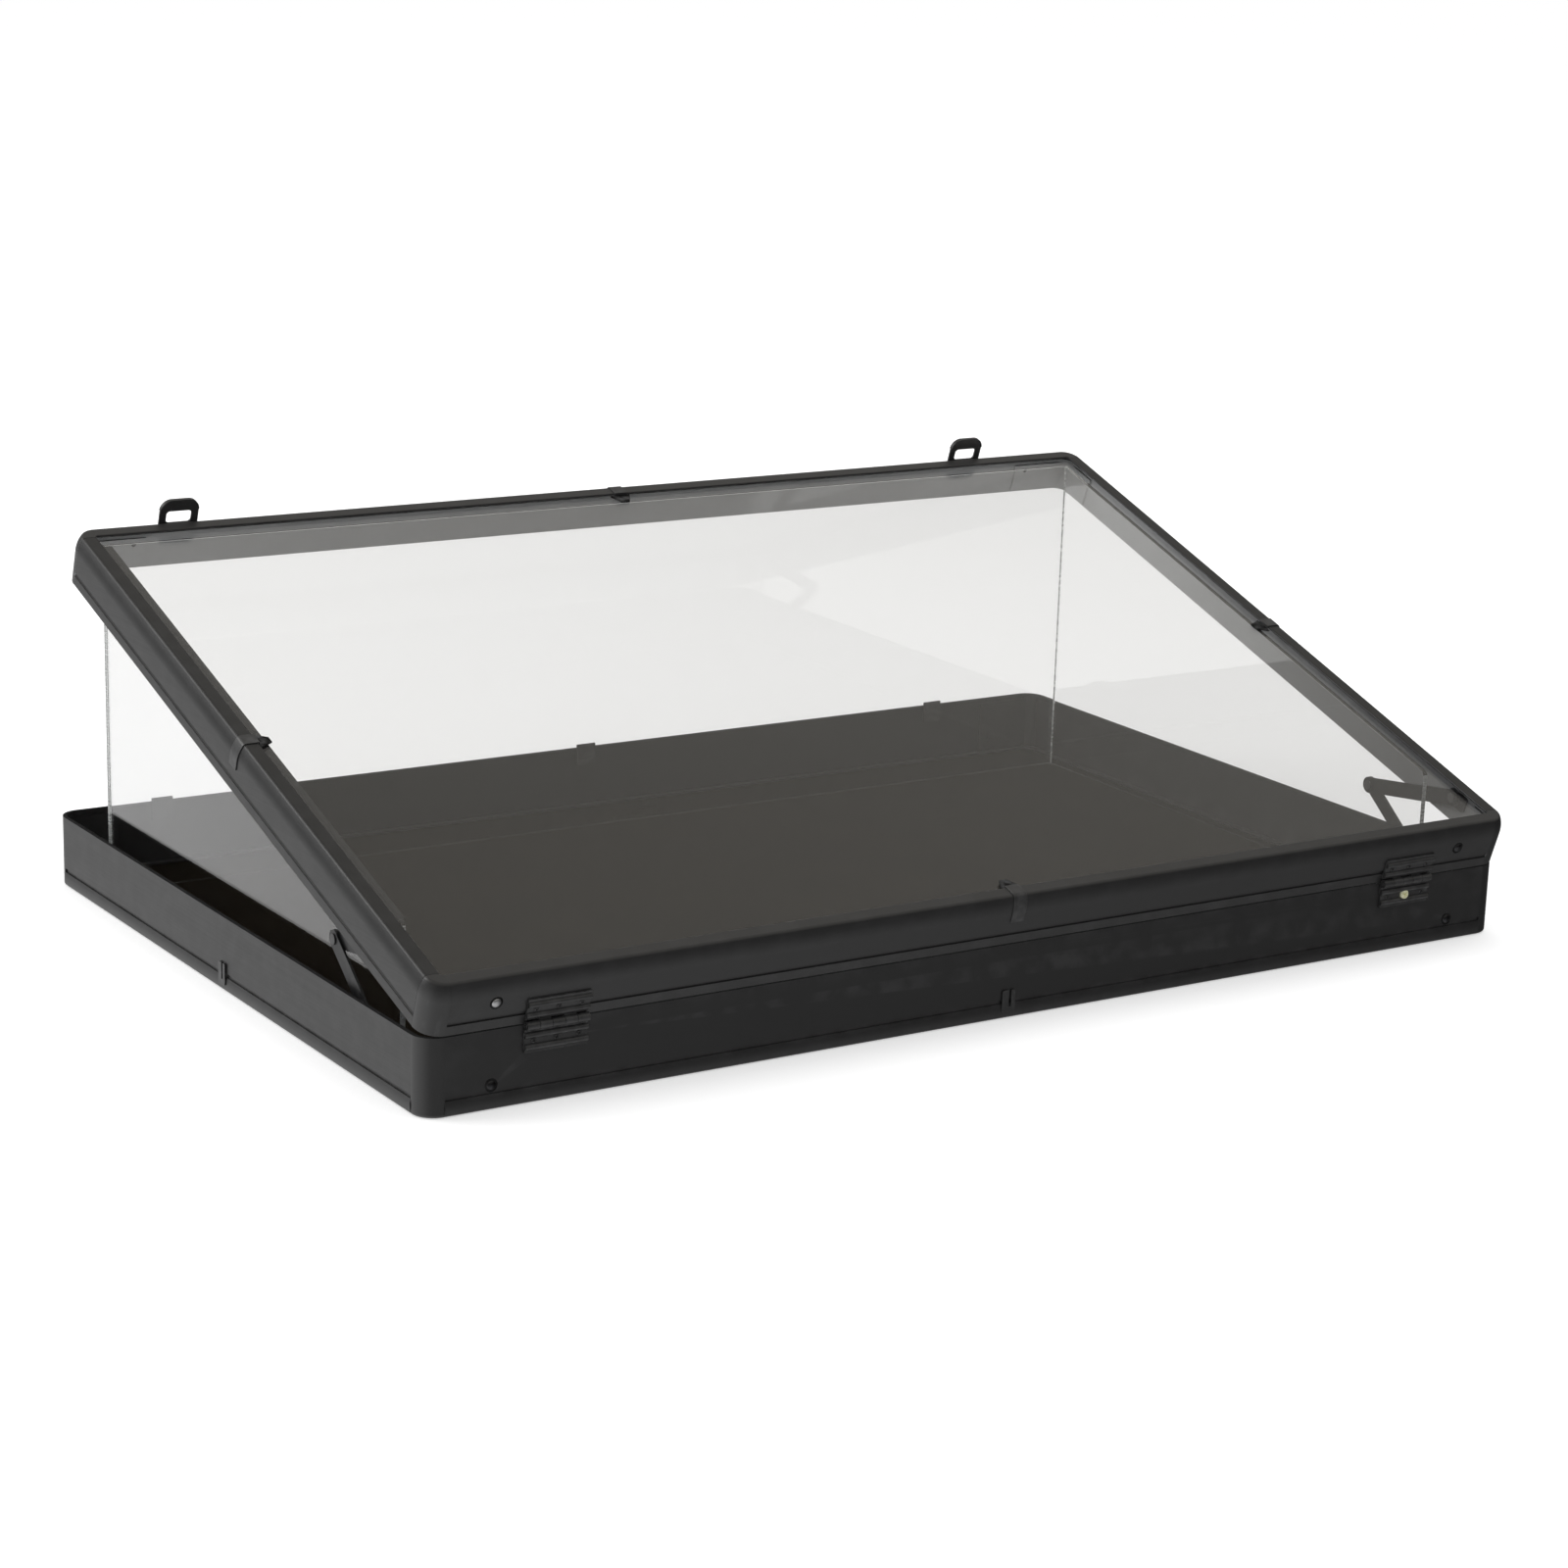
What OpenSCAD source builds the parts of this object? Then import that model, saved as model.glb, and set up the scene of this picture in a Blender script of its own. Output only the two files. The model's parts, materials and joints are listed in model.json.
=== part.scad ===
// Portable tabletop display case with a tilted, glazed lid.
// Frame: origin on the table under the centre of the tray, front towards -Y, up +Z.
// Case places are measured from the tray's front face (y), its centre line (x) and the table (z).
// Lid places are those of the closed lid: y from the front face, z from the seam.

/* [Case] */
// Width across the front
case_w = 908; // [640:2:1200]
// Depth from front face to back face, lid closed
case_d = 606; // [460:2:800]
// Height of the tray, table to seam
tray_h = 54; // [50:1:80]
// Height of the lid frame, seam to top
lid_h = 38; // [36:1:50]
// Outer radius of the corner pieces
corner_r = 16; // [15:0.5:24]
// Angle that the clear panels hold the lid at
lid_tilt = 18.1; // [12:0.1:24]

/* [Rails] */
// Wall of every rail
wall = 2; // [1.6:0.1:2.4]
// Rounding along the tray's bottom edge
foot_r = 2.5; // [2.5:0.5:4]
// Height below the lid's top where its face starts to curve inward
crown_h = 13; // [11:0.5:13]
// Radius of that slow curve
crown_sweep_r = 24; // [20:1:32]
// Rounding along the lid's top edge
crown_r = 3; // [2.5:0.5:4]
// Width of the lip over the pane, and of the lip under the floor
lip_w = 14; // [12:0.5:14.5]
// Height of the plain bead below the tray's groove
tray_bead = 11; // [8:0.5:14]
// Height of the plain bead below the lid's groove
lid_bead = 7; // [5:0.5:9]
// Width of the decorative grooves
groove_w = 3; // [1.5:0.1:3.5]
// Depth of the decorative grooves
groove_d = 1.1; // [0.4:0.1:1.2]
// How far the tray's bead swells outward at the front and the sides
bead_out = 0.6; // [0.3:0.1:0.8]
// Width of the ledge that holds the floor
ledge_w = 6; // [5:0.5:7]
// How far the pane rests on its ledge
pane_rest = 2.2; // [1.8:0.1:2.6]
// Thickness of the ledges
ledge_t = 1.4; // [1:0.1:2]
// Height of the stiffening bead inside the tray's rim
rim_h = 4; // [3:0.5:5]
// Thickness of the stiffening bead
rim_t = 1.2; // [0.8:0.1:1.6]

/* [Corners] */
// Reach of the riveted tongues along the front and back, from the outer corner
tongue_long = 59; // [54:1:70]
// Reach of the plain tongues along the sides, from the outer corner
tongue_short = 38; // [30:1:44]
// Thickness of the tongues
tongue_t = 1.5; // [1:0.1:2]
// Rivet distance from the outer corner
rivet_in = 49; // [44:1:50]
// Rivet height on the lid
lid_rivet_z = 20; // [15:1:24]
// Rivet height on the tray
tray_rivet_z = 17; // [15:1:30]
// Radius of a rivet's domed head
rivet_head_r = 3.3; // [2.6:0.1:4]

/* [Glazing and floor] */
// Thickness of the lid's pane
pane_t = 3; // [2:0.5:4]
// Thickness of the rubber strip between the lip and the pane
seal_t = 1; // [0.6:0.1:1.4]
// Width of the rubber strip
seal_w = 6.5; // [5:0.5:6.5]
// Thickness of the floor board
floor_t = 3; // [2:0.5:5]
// Thickness of the clear panels
panel_t = 4; // [3:0.5:6]
// Distance from the lid's outer face to a clear panel
panel_inset = 18; // [17:0.5:24]
// Distance from the front face to the side panels' front edge
panel_front = 67; // [60:1:90]
// Radius of the side panels' upper front corner
panel_corner_r = 6; // [3:1:10]

/* [Hinges] */
// Length of a hinge
hinge_len = 46; // [36:1:60]
// Distance from a hinge's centre to the case's end
hinge_in = 95; // [88:1:200]
// Height of a leaf, seam to free edge
leaf_h = 19; // [17:0.5:22]
// Thickness of a leaf's plate
leaf_t = 1.6; // [1.2:0.1:2]
// Radius of the barrel
barrel_r = 3; // [2.6:0.1:3.6]
// Radius of the hinge pin
pin_r = 1.2; // [0.8:0.1:1.5]
// Radius of the ribs along a leaf
leaf_rib_r = 2; // [1.4:0.1:2]
// Spacing of the three screws in a leaf
leaf_screw_gap = 16.5; // [12:0.5:17]
// Radius of a screw's head
screw_head_r = 1.9; // [1.6:0.1:1.9]

/* [Hasps and locks] */
// Distance from the left hasp's centre to the case's left end
hasp_left_in = 86; // [81:1:200]
// Distance from the right hasp's centre to the case's right end
hasp_right_in = 111; // [81:1:200]
// Width of a hasp
hasp_w = 31; // [26:1:36]
// Height of the hasp's pivot on the lid
hasp_pivot_z = 14; // [11:0.5:16]
// Reach of a hasp from its pivot
hasp_reach = 39; // [37:1:44]
// Thickness of a hasp's plate
hasp_t = 1.5; // [1.2:0.1:2]
// Width of the hasp's slot
slot_w = 20; // [16:0.5:20.5]
// Height of the hasp's slot
slot_h = 9.5; // [7:0.5:10]
// Bar left beyond the slot
tip_bar = 9.5; // [8:0.5:11]
// Depth of the lock's housing
lock_depth = 7; // [6:0.5:9]
// Travel of the lock's button
button_travel = 5; // [3:0.5:5]

/* [Handle] */
// Distance between the handle's arms
handle_w = 120; // [100:1:150]
// Drop from the handle's pivot to its grip
handle_drop = 34; // [30:0.5:35]
// Height of the handle's pivot above the table
handle_z = 44; // [43:0.5:45]
// Distance of the handle's pivot from the back face
handle_y = 9.5; // [9:0.5:12]
// Radius of the handle's rod
rod_r = 2.5; // [2:0.1:3]
// Radius of the rubber grip
grip_r = 7.2; // [6:0.1:7.5]
// Length of the rubber grip
grip_len = 92; // [70:1:95]

/* [Lid stays] */
// Tray pivot's distance from the front face
stay_tray_y = 90; // [84:1:110]
// Tray pivot's height above the table
stay_tray_z = 42; // [38:0.5:43]
// Lid pivot's distance from the front face, lid closed
stay_lid_y = 57; // [56:0.5:70]
// Lid pivot's height above the seam, lid closed
stay_lid_z = 22; // [20:0.5:22.5]
// Width of a link
link_w = 12; // [9:0.5:12]
// Thickness of a link
link_t = 1.6; // [1.2:0.1:2]
// Radius of the pivots' journals
journal_r = 2.5; // [2:0.1:2.8]

/* [Hidden] */

FRONT = 0;
RIGHT = 1;
BACK = 2;
LEFT = 3;
BLACK = "#26262a";
EDGE = "#3a3a40";
STEEL = "#17171a";
CLEAR = [0.85, 0.92, 0.94, 0.35];

$fa = 4;
$fs = 0.4;
over = 1;            // how far a cut runs past the face that it opens
seat_gap = 0.3;      // between pieces that move past each other
run_gap = 0.05;      // radial, shaft in bore
slack = 0.2;         // between glazing or floor and their ledges
rivet_r = 1.6;
rivet_h = 1.5;
screw_r = 1.4;

// Heights of the seats inside the rails
floor_z = wall;
floor_top = floor_z + floor_t;
lip_under = lid_h - wall;
seal_bottom = lip_under - seal_t;
pane_under = seal_bottom - pane_t;
lid_ledge_top = pane_under;
crown_turn = asin((crown_h - crown_r) / (crown_sweep_r - crown_r));   // where its two arcs meet
crown_u = crown_sweep_r - (crown_sweep_r - crown_r) * cos(crown_turn); // start of the flat lip
edge_in = crown_u + slack;               // outer edge of the pane and of its rubber strip

// Places along the case's width, from its middle
hinge_x = case_w / 2 - hinge_in;
hasp_left_x = case_w / 2 - hasp_left_in;
hasp_right_x = case_w / 2 - hasp_right_in;

// Hinge axis, and the lid's tilt about it
hinge_y = -(barrel_r + seat_gap);
ct = cos(lid_tilt);
st = sin(lid_tilt);
function on_lid_yz(p) =
    [hinge_y + (p[0] - hinge_y) * ct - p[1] * st,
     tray_h + (p[0] - hinge_y) * st + p[1] * ct];
// Height of the tilted pane's underside above a place y, less the seat gap
function under_pane(y) =
    tray_h + (y - hinge_y) * st / ct + (pane_under - seat_gap) / ct;

// Clear panels: the back one stands where the lid's back rail comes down to it
back_panel_y = on_lid_yz([case_d - panel_inset, pane_under])[0] - panel_t;
panel_half = case_w / 2 - panel_inset;

// Lid stay: a parallelogram of hinge axis, tray pivot, elbow and lid pivot
stay_a = [stay_tray_y, stay_tray_z];
stay_b = on_lid_yz([stay_lid_y, stay_lid_z]);
stay_h = [hinge_y, tray_h];
stay_e = stay_a + stay_b - stay_h;
stud_r = 3.8;
washer_t = 1;
stay_plate_w = 20;
stay_plate_h = 13;
stay_plate_low = 3;    // how far its middle lies below the stud
eye_extra = 0.4;
lower_u = wall + tongue_t + 2.8;                   // near face of the lower link
upper_u = lower_u + link_t + seat_gap;             // near face of the upper link

// Hasp, measured outward from the lid's back face
hasp_plate_t = 1.2;
hasp_barrel_r = 2.2;
hasp_pin_r = 1;
hasp_axis = hasp_plate_t + 0.2 + hasp_barrel_r;
slot_far = hasp_reach - tip_bar;
hasps = [[-1, -hasp_left_x], [1, hasp_right_x]];
catch_z = tray_h + hasp_pivot_z - slot_far + slot_h / 2;

// ---------- placing ----------

// From case places to the part's frame
module in_case() translate([0, -case_d / 2, 0]) children();

// From closed-lid places to the tilted lid
module in_lid() in_case() translate([0, hinge_y, tray_h])
    rotate([lid_tilt, 0, 0]) translate([0, -hinge_y, 0]) children();

// Middle of a side, x along it and y inward
module side(i) {
    place = [[0, 0], [case_w / 2, case_d / 2], [0, case_d], [-case_w / 2, case_d / 2]][i];
    translate([place[0], place[1], 0]) rotate(90 * i) children();
}

// Outer corner i, at the start of side i, x and y along its two sides
module corner(i) {
    place = [[-1, 0], [1, 0], [1, 1], [-1, 1]][i];
    translate([place[0] * case_w / 2, place[1] * case_d, 0]) rotate(90 * i) children();
}

// Outline drawn in (inward, up), run along x
module run(len) rotate([90, 0, 90]) linear_extrude(len, center = true) children();

// Outline drawn in (y, z), as a plate from x = u to x = u + t
module plate(u, t) translate([u, 0, 0]) rotate([90, 0, 90]) linear_extrude(t) children();

// Left side (-1) or right side (+1), x inward from the outer face
module inward(s) translate([s * case_w / 2, 0, 0]) mirror([s > 0 ? 1 : 0, 0, 0]) children();

// Back face, drawn in (x, z) and run outward by t from y = u
module on_back(u, t) translate([0, case_d + u + t, 0]) rotate([90, 0, 0]) linear_extrude(t) children();

// A round bar along x
module bar(r, len) rotate([0, 90, 0]) cylinder(r = r, h = len, center = true);

// ---------- outlines ----------

module rounded(w, h, r) {
    square([w - 2 * r, h], center = true);
    square([w, h - 2 * r], center = true);
    for (x = [-1, 1], y = [-1, 1]) translate([x * (w / 2 - r), y * (h / 2 - r)]) circle(r);
}

// A quarter of a ring, its centre at the origin, in the lower left quadrant
module quarter_ring(r, t) intersection() {
    difference() {
        circle(r);
        circle(r - t);
    }
    translate([-r, -r]) square(r);
}

// A part of a ring about the origin, from the outward level up through an angle
module ring_part(r, t, from, to) intersection() {
    difference() {
        circle(r, $fa = 2);
        circle(r - t, $fa = 2);
    }
    far = 2 * r;
    polygon([[0, 0], [-far * cos(from), far * sin(from)],
             [-far * cos((from + to) / 2), far * sin((from + to) / 2)],
             [-far * cos(to), far * sin(to)]]);
}

// The lid's curved shoulder: a slow arc, then the tight one at the top; out is how far it stands off
module crown(out, t) {
    translate([crown_sweep_r, lid_h - crown_h])
        ring_part(crown_sweep_r + out, t, 0, crown_turn);
    translate([crown_u, lid_h - crown_r]) ring_part(crown_r + out, t, crown_turn, 90);
}

// Shallow swelling of the outer face between two heights
module bead(low, high) {
    half = (high - low) / 2;
    r = (half * half + bead_out * bead_out) / (2 * bead_out);
    intersection() {
        translate([r - bead_out, (low + high) / 2]) circle(r, $fa = 1.5);
        translate([-bead_out, low]) square([bead_out + wall / 2, high - low]);
    }
}

// Tray rail: wall, rounded foot, bottom lip, floor ledge and rim bead
module tray_outline(grooved, swelled = false) difference() {
    union() {
        translate([0, foot_r]) square([wall, tray_h - foot_r]);
        translate([foot_r, foot_r]) quarter_ring(foot_r, wall);
        translate([foot_r, 0]) square([lip_w - foot_r, wall]);
        translate([wall / 2, floor_top + slack]) square([ledge_w + wall / 2, ledge_t]);
        translate([wall / 2, tray_h - rim_h]) square([wall / 2 + rim_t, rim_h]);
        if (swelled) bead(foot_r - 1, tray_bead);
    }
    if (grooved) translate([-over, tray_bead]) square([groove_d + over, groove_w]);
}

// Lid rail: wall, curved shoulder, lip over the pane and ledge under it
module lid_outline(grooved) difference() {
    union() {
        square([wall, lid_h - crown_h]);
        crown(0, wall);
        translate([crown_u, lip_under]) square([lip_w - crown_u - wall / 2, wall]);
        translate([lip_w - wall / 2, lid_h - wall / 2]) circle(wall / 2);
        translate([0.8 * wall, lid_ledge_top - ledge_t])
            square([edge_in + pane_rest - 0.8 * wall, ledge_t]);
    }
    if (grooved) translate([-over, lid_bead]) square([groove_d + over, groove_w]);
}

// A link between two pivots, with an eye and a bore at each
module link_outline(p, q, bore_p, bore_q) {
    d = q - p;
    difference() {
        union() {
            translate(p) rotate(atan2(d[1], d[0])) translate([0, -link_w / 2])
                square([norm(d), link_w]);
            translate(p) circle(link_w / 2 + eye_extra);
            translate(q) circle(link_w / 2 + eye_extra);
        }
        translate(p) circle(bore_p);
        translate(q) circle(bore_q);
    }
}

// ---------- rails and corners ----------

function side_len(i) = (i % 2 == 0 ? case_w : case_d) - 2 * corner_r;

// Through holes for the corner rivets, at both ends of a front or back rail
module rivet_holes(i, z) if (i % 2 == 0)
    for (x = [-1, 1]) translate([x * (case_w / 2 - rivet_in), 0, z])
        rotate([90, 0, 0]) cylinder(r = rivet_r + run_gap, h = 2 * wall + 2 * over, center = true);

// Through holes for a hinge's screws, in the front rails
module hinge_holes(i, z) if (i == FRONT)
    for (x = [-1, 1], k = [-1:1]) translate([x * hinge_x + k * leaf_screw_gap, 0, z])
        rotate([90, 0, 0]) cylinder(r = screw_r + run_gap, h = 2 * wall + 2 * over, center = true);

module tray_rail(i) color(i % 2 == 0 ? BLACK : EDGE) in_case() side(i) difference() {
    run(side_len(i)) tray_outline(true, i != BACK);
    rivet_holes(i, tray_rivet_z);
    hinge_holes(i, tray_h - leaf_screw_z);
}

module lid_rail(i) color(i % 2 == 0 ? BLACK : EDGE) in_lid() side(i) difference() {
    run(side_len(i)) lid_outline(true);
    rivet_holes(i, lid_rivet_z);
    hinge_holes(i, leaf_screw_z);
}

// Rounded corner piece with a tongue behind each of its two rails
module corner_piece(i, low, high, rivet_z) {
    reach = i % 2 == 0 ? [tongue_long, tongue_short] : [tongue_short, tongue_long];
    root = corner_r - 6;
    translate([corner_r, corner_r, 0]) rotate(180) rotate_extrude(angle = 90)
        translate([corner_r, 0]) mirror([1, 0]) children();
    difference() {
        union() {
            translate([root, wall, low]) cube([reach[0] - root, tongue_t, high - low]);
            translate([wall, root, low]) cube([tongue_t, reach[1] - root, high - low]);
        }
        if (i % 2 == 0) translate([rivet_in, 0, rivet_z]) rotate([-90, 0, 0])
            cylinder(r = rivet_r + run_gap, h = 3 * wall);
        else translate([0, rivet_in, rivet_z]) rotate([0, 90, 0])
            cylinder(r = rivet_r + run_gap, h = 3 * wall);
    }
}

module tray_corner(i) color(BLACK) in_case() corner(i)
    corner_piece(i, floor_top + slack + ledge_t + slack, tray_h - rim_h - slack, tray_rivet_z)
        tray_outline(false);

module lid_corner(i) color(BLACK) in_lid() corner(i)
    corner_piece(i, wall, lid_h - crown_h - slack, lid_rivet_z) lid_outline(false);

// Rivet through a rail and a tongue: domed head outside at z < 0, upset end inside
module rivet(grip) {
    dome = (rivet_head_r * rivet_head_r + rivet_h * rivet_h) / (2 * rivet_h);
    cylinder(r = rivet_r, h = grip);
    intersection() {
        translate([0, 0, dome - rivet_h]) sphere(dome);
        translate([0, 0, -rivet_h]) cylinder(r = rivet_head_r, h = rivet_h);
    }
    translate([0, 0, grip]) cylinder(r = rivet_r + 0.8, h = 0.8);
}

module corner_rivets(z) for (y = [0, 1], x = [-1, 1])
    translate([x * (case_w / 2 - rivet_in), y * case_d, z])
        rotate([y == 0 ? -90 : 90, 0, 0]) rivet(wall + tongue_t);

module tray_rivets() color(EDGE) in_case() corner_rivets(tray_rivet_z);
module lid_rivets() color("#606066") in_lid() corner_rivets(lid_rivet_z);

// ---------- clips and tabs at the middle of the sides ----------

clip_t = 0.8;
clip_w = 11;
clip_drop = 20;
clip_foot = 5;
clip_low = 5;

// Spring clip over the lid's lip, its foot pressed on the pane
module lid_clip_outline() {
    edge = lip_w + 0.1;
    translate([-clip_t, lid_h - clip_drop]) square([clip_t, clip_drop - crown_h]);
    crown(clip_t, clip_t);
    translate([crown_u, lid_h]) square([edge + clip_t - crown_u, clip_t]);
    translate([edge, pane_under + pane_t + slack])
        square([clip_t, lid_h + clip_t - pane_under - pane_t - slack]);
    translate([edge, pane_under + pane_t + slack]) square([clip_foot, clip_t]);
}

module lid_clips() color(STEEL) in_lid() for (i = [FRONT:LEFT]) side(i)
    run(clip_w) lid_clip_outline();

// Keeper pressed over the tray's groove, with a slot down its middle
module tray_clip() difference() {
    translate([0, 0, clip_low]) rotate([90, 0, 0]) linear_extrude(clip_t)
        translate([0, (tray_bead + groove_w + 2) / 2]) rounded(clip_w, tray_bead + groove_w + 2, 1.5);
    translate([0, -clip_t, clip_low + 4]) cube([2, 2 * clip_t, tray_bead + 6], center = false);
}

module tray_clips() color(STEEL) in_case() for (i = [FRONT:LEFT]) side(i)
    translate([0, i == BACK ? 0 : -bead_out, 0]) tray_clip();

// Tabs inside the back rim that guide the closing lid
tab_w = 17;
tab_up = 3.5;
tab_down = 14;

module rim_tabs() color(STEEL) in_case()
    for (x = [-hasp_left_x, 0, hasp_right_x]) translate([x, case_d, 0]) rotate(180)
        run(tab_w) translate([wall + rim_t, tray_h - tab_down])
            union() {
                square([1.5, tab_down + tab_up - 0.75]);
                translate([0.75, tab_down + tab_up - 0.75]) circle(0.75);
            }

// ---------- floor, pane and clear panels ----------

module slab(inset, z, t) translate([0, case_d / 2, z]) linear_extrude(t)
    rounded(case_w - 2 * inset, case_d - 2 * inset, corner_r - inset);

module floor_board() color("#0d0d0e") in_case() slab(foot_r + slack, floor_z, floor_t);

module pane() color(CLEAR) in_lid() slab(edge_in, pane_under, pane_t);

// Rubber strip all round, between the lip and the pane
module glazing_seal() color("#101012") in_lid() difference() {
    slab(edge_in, seal_bottom, seal_t);
    slab(edge_in + seal_w, seal_bottom - over, seal_t + 2 * over);
}

// Side panel: upright edges, and a top edge that follows the pane
module side_panel_outline() {
    foot = floor_top;
    r = panel_corner_r;
    difference() {
        polygon([[panel_front, foot], [back_panel_y, foot],
                 [back_panel_y, under_pane(back_panel_y)], [panel_front, under_pane(panel_front)]]);
        // the upper front corner is rounded by an arc that touches both edges
        translate([panel_front, under_pane(panel_front)]) difference() {
            polygon([[-over, over], [-over, -r * corner_k], [0, -r * corner_k],
                     [r * corner_k * ct, r * corner_k * st], [r * corner_k * ct, r * corner_k * st + over]]);
            translate([r, -r * corner_k]) circle(r);
        }
    }
}
// distance along each edge from the corner to the arc, for a corner of 90 + lid_tilt degrees
corner_k = 1 / tan((90 + lid_tilt) / 2);

module side_panel(s) color(CLEAR) in_case() inward(s)
    plate(panel_inset, panel_t) side_panel_outline();

module back_panel() color(CLEAR) in_case()
    translate([-panel_half, back_panel_y, floor_top])
        cube([2 * panel_half, panel_t, under_pane(back_panel_y) - floor_top]);

// ---------- hinges ----------

leaf_rib_near = barrel_r + 4;
leaf_rib_far = leaf_h - 4;
leaf_screw_z = (leaf_rib_near + leaf_rib_far) / 2;
leaf_start = barrel_r + 0.2;
knuckles = 5;
knuckle = hinge_len / knuckles;

// Leaf drawn with the seam at the origin: x outward from the face, y away from the seam
module leaf_outline() {
    translate([0, leaf_start]) square([leaf_t, leaf_h - leaf_start]);
    for (q = [leaf_rib_near, leaf_rib_far]) intersection() {
        translate([leaf_t, q]) circle(leaf_rib_r);
        translate([0, leaf_start]) square([leaf_t + leaf_rib_r, leaf_h - leaf_start]);
    }
}

module knuckle_outline() difference() {
    union() {
        translate([-hinge_y, 0]) circle(barrel_r);
        translate([seat_gap, 0]) square([leaf_t + 0.4, leaf_start + 0.4]);
    }
    translate([-hinge_y, 0]) circle(pin_r + run_gap);
}

// One leaf along x, its odd or even knuckles, and its screw holes; z runs away from the seam
module leaf(first) difference() {
    rotate([90, 0, -90]) mirror([0, 0, 1]) union() {
        linear_extrude(hinge_len, center = true) leaf_outline();
        for (k = [first:2:knuckles - 1])
            translate([0, 0, (k - (knuckles - 1) / 2) * knuckle])
                linear_extrude(knuckle - seat_gap, center = true) knuckle_outline();
    }
    for (k = [-1:1]) translate([k * leaf_screw_gap, 0, leaf_screw_z]) rotate([90, 0, 0])
        cylinder(r = screw_r + run_gap, h = 4 * leaf_t, center = true);
}

module tray_leaf(s) color(STEEL) in_case() translate([s * hinge_x, 0, tray_h])
    mirror([0, 0, 1]) leaf(0);
module lid_leaf(s) color(STEEL) in_lid() translate([s * hinge_x, 0, 0]) leaf(1);

module hinge_pins() color(STEEL) in_case() for (s = [-1, 1])
    translate([s * hinge_x, hinge_y, tray_h]) bar(pin_r, hinge_len);

// Screw through a leaf and a wall, its domed head on the leaf
module leaf_screw() rotate([90, 0, 0]) {
    translate([0, 0, -wall - 0.4]) cylinder(r = screw_r, h = wall + 0.4 + leaf_t);
    translate([0, 0, leaf_t]) intersection() {
        translate([0, 0, -screw_head_r * 0.9]) sphere(screw_head_r * 1.35);
        cylinder(r = screw_head_r, h = screw_head_r);
    }
}

module leaf_screws(z, skip_brass) for (s = [-1, 1], k = [-1:1])
    if (!(skip_brass && s == 1 && k == 0))
        translate([s * hinge_x + k * leaf_screw_gap, 0, z]) leaf_screw();

module tray_hinge_screws() color(STEEL) in_case() leaf_screws(tray_h - leaf_screw_z, true);
module lid_hinge_screws() color(STEEL) in_lid() leaf_screws(leaf_screw_z, false);
module brass_hinge_screw() color("#c9b560") in_case()
    translate([hinge_x, 0, tray_h - leaf_screw_z]) leaf_screw();

// ---------- hasps, drawn standing open behind the lid ----------

hasp_knuckle = (hasp_w - 1) / 5;
hasp_plate_up = 9;

module hasp_knuckles(list) for (k = list)
    translate([(k - 2) * hasp_knuckle, case_d + hasp_axis, hasp_pivot_z]) difference() {
        union() {
            bar(hasp_barrel_r, hasp_knuckle - seat_gap);
            children();
        }
        bar(hasp_pin_r + run_gap, hasp_knuckle + over);
    }

// Plate riveted to the lid, with the fixed knuckles
module hasp_plate(h) color(STEEL) in_lid() translate([h[1], 0, 0]) {
    difference() {
        translate([0, 0, hasp_pivot_z]) on_back(0, hasp_plate_t)
            rounded(hasp_w, 2 * hasp_plate_up, 2);
        for (x = [-1, 1], z = [-1, 1])
            translate([x * hasp_rivet_x, case_d - over, hasp_pivot_z + z * hasp_rivet_z])
                rotate([-90, 0, 0]) cylinder(r = hasp_rivet_r + run_gap, h = 4);
    }
    hasp_knuckles([0, 2, 4])
        translate([-(hasp_knuckle - seat_gap) / 2, -hasp_axis + hasp_plate_t / 2, -1.6])
            cube([hasp_knuckle - seat_gap, hasp_axis - hasp_plate_t / 2, 3.2]);
}
hasp_rivet_x = 11;
hasp_rivet_z = 6;
hasp_rivet_r = 1.2;

module hasp_rivets() color(EDGE) in_lid() for (h = hasps, x = [-1, 1], z = [-1, 1])
    translate([h[1] + x * hasp_rivet_x, case_d, hasp_pivot_z + z * hasp_rivet_z])
        rotate([-90, 0, 0]) small_rivet(hasp_plate_t);

module hasp_pins() color(STEEL) in_lid() for (h = hasps)
    translate([h[1], case_d + hasp_axis, hasp_pivot_z]) bar(hasp_pin_r, hasp_w - 1);

// Hasp outline above its pivot, with the slot that drops over the lock's catch
module hasp_outline() {
    start = hasp_barrel_r + seat_gap;
    r = 9;
    difference() {
        union() {
            translate([-hasp_w / 2, start]) square([hasp_w, hasp_reach - r - start]);
            translate([-hasp_w / 2 + r, start]) square([hasp_w - 2 * r, hasp_reach - start]);
            for (x = [-1, 1]) translate([x * (hasp_w / 2 - r), hasp_reach - r]) circle(r);
        }
        translate([0, slot_far - slot_h / 2]) rounded(slot_w, slot_h, 2.8);
    }
}

module hasp(h) color(STEEL) in_lid() translate([h[1], 0, 0]) {
    translate([0, 0, hasp_pivot_z]) on_back(hasp_axis - hasp_t / 2, hasp_t) hasp_outline();
    // thickened tip bar for the finger
    translate([0, 0, hasp_pivot_z]) on_back(hasp_axis - hasp_t, 2 * hasp_t) intersection() {
        hasp_outline();
        translate([-hasp_w, slot_far + 1]) square([2 * hasp_w, tip_bar]);
    }
    hasp_knuckles([1, 3])
        translate([-(hasp_knuckle - seat_gap) / 2, -hasp_t / 2, 0])
            cube([hasp_knuckle - seat_gap, hasp_t, hasp_barrel_r + 1]);
}

// ---------- locks on the tray's back ----------

lock_w = 34;
lock_low = 8.5;
lock_high = tray_h - 4;
lock_plate_t = 1.4;
catch_w = 14;
lock_rivet_x = 12;
house_h = 14.5;
button_w = 9;
button_h = 6;
button_room = button_w + button_travel + 0.6;
house_z = lock_low + house_h / 2;

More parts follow.
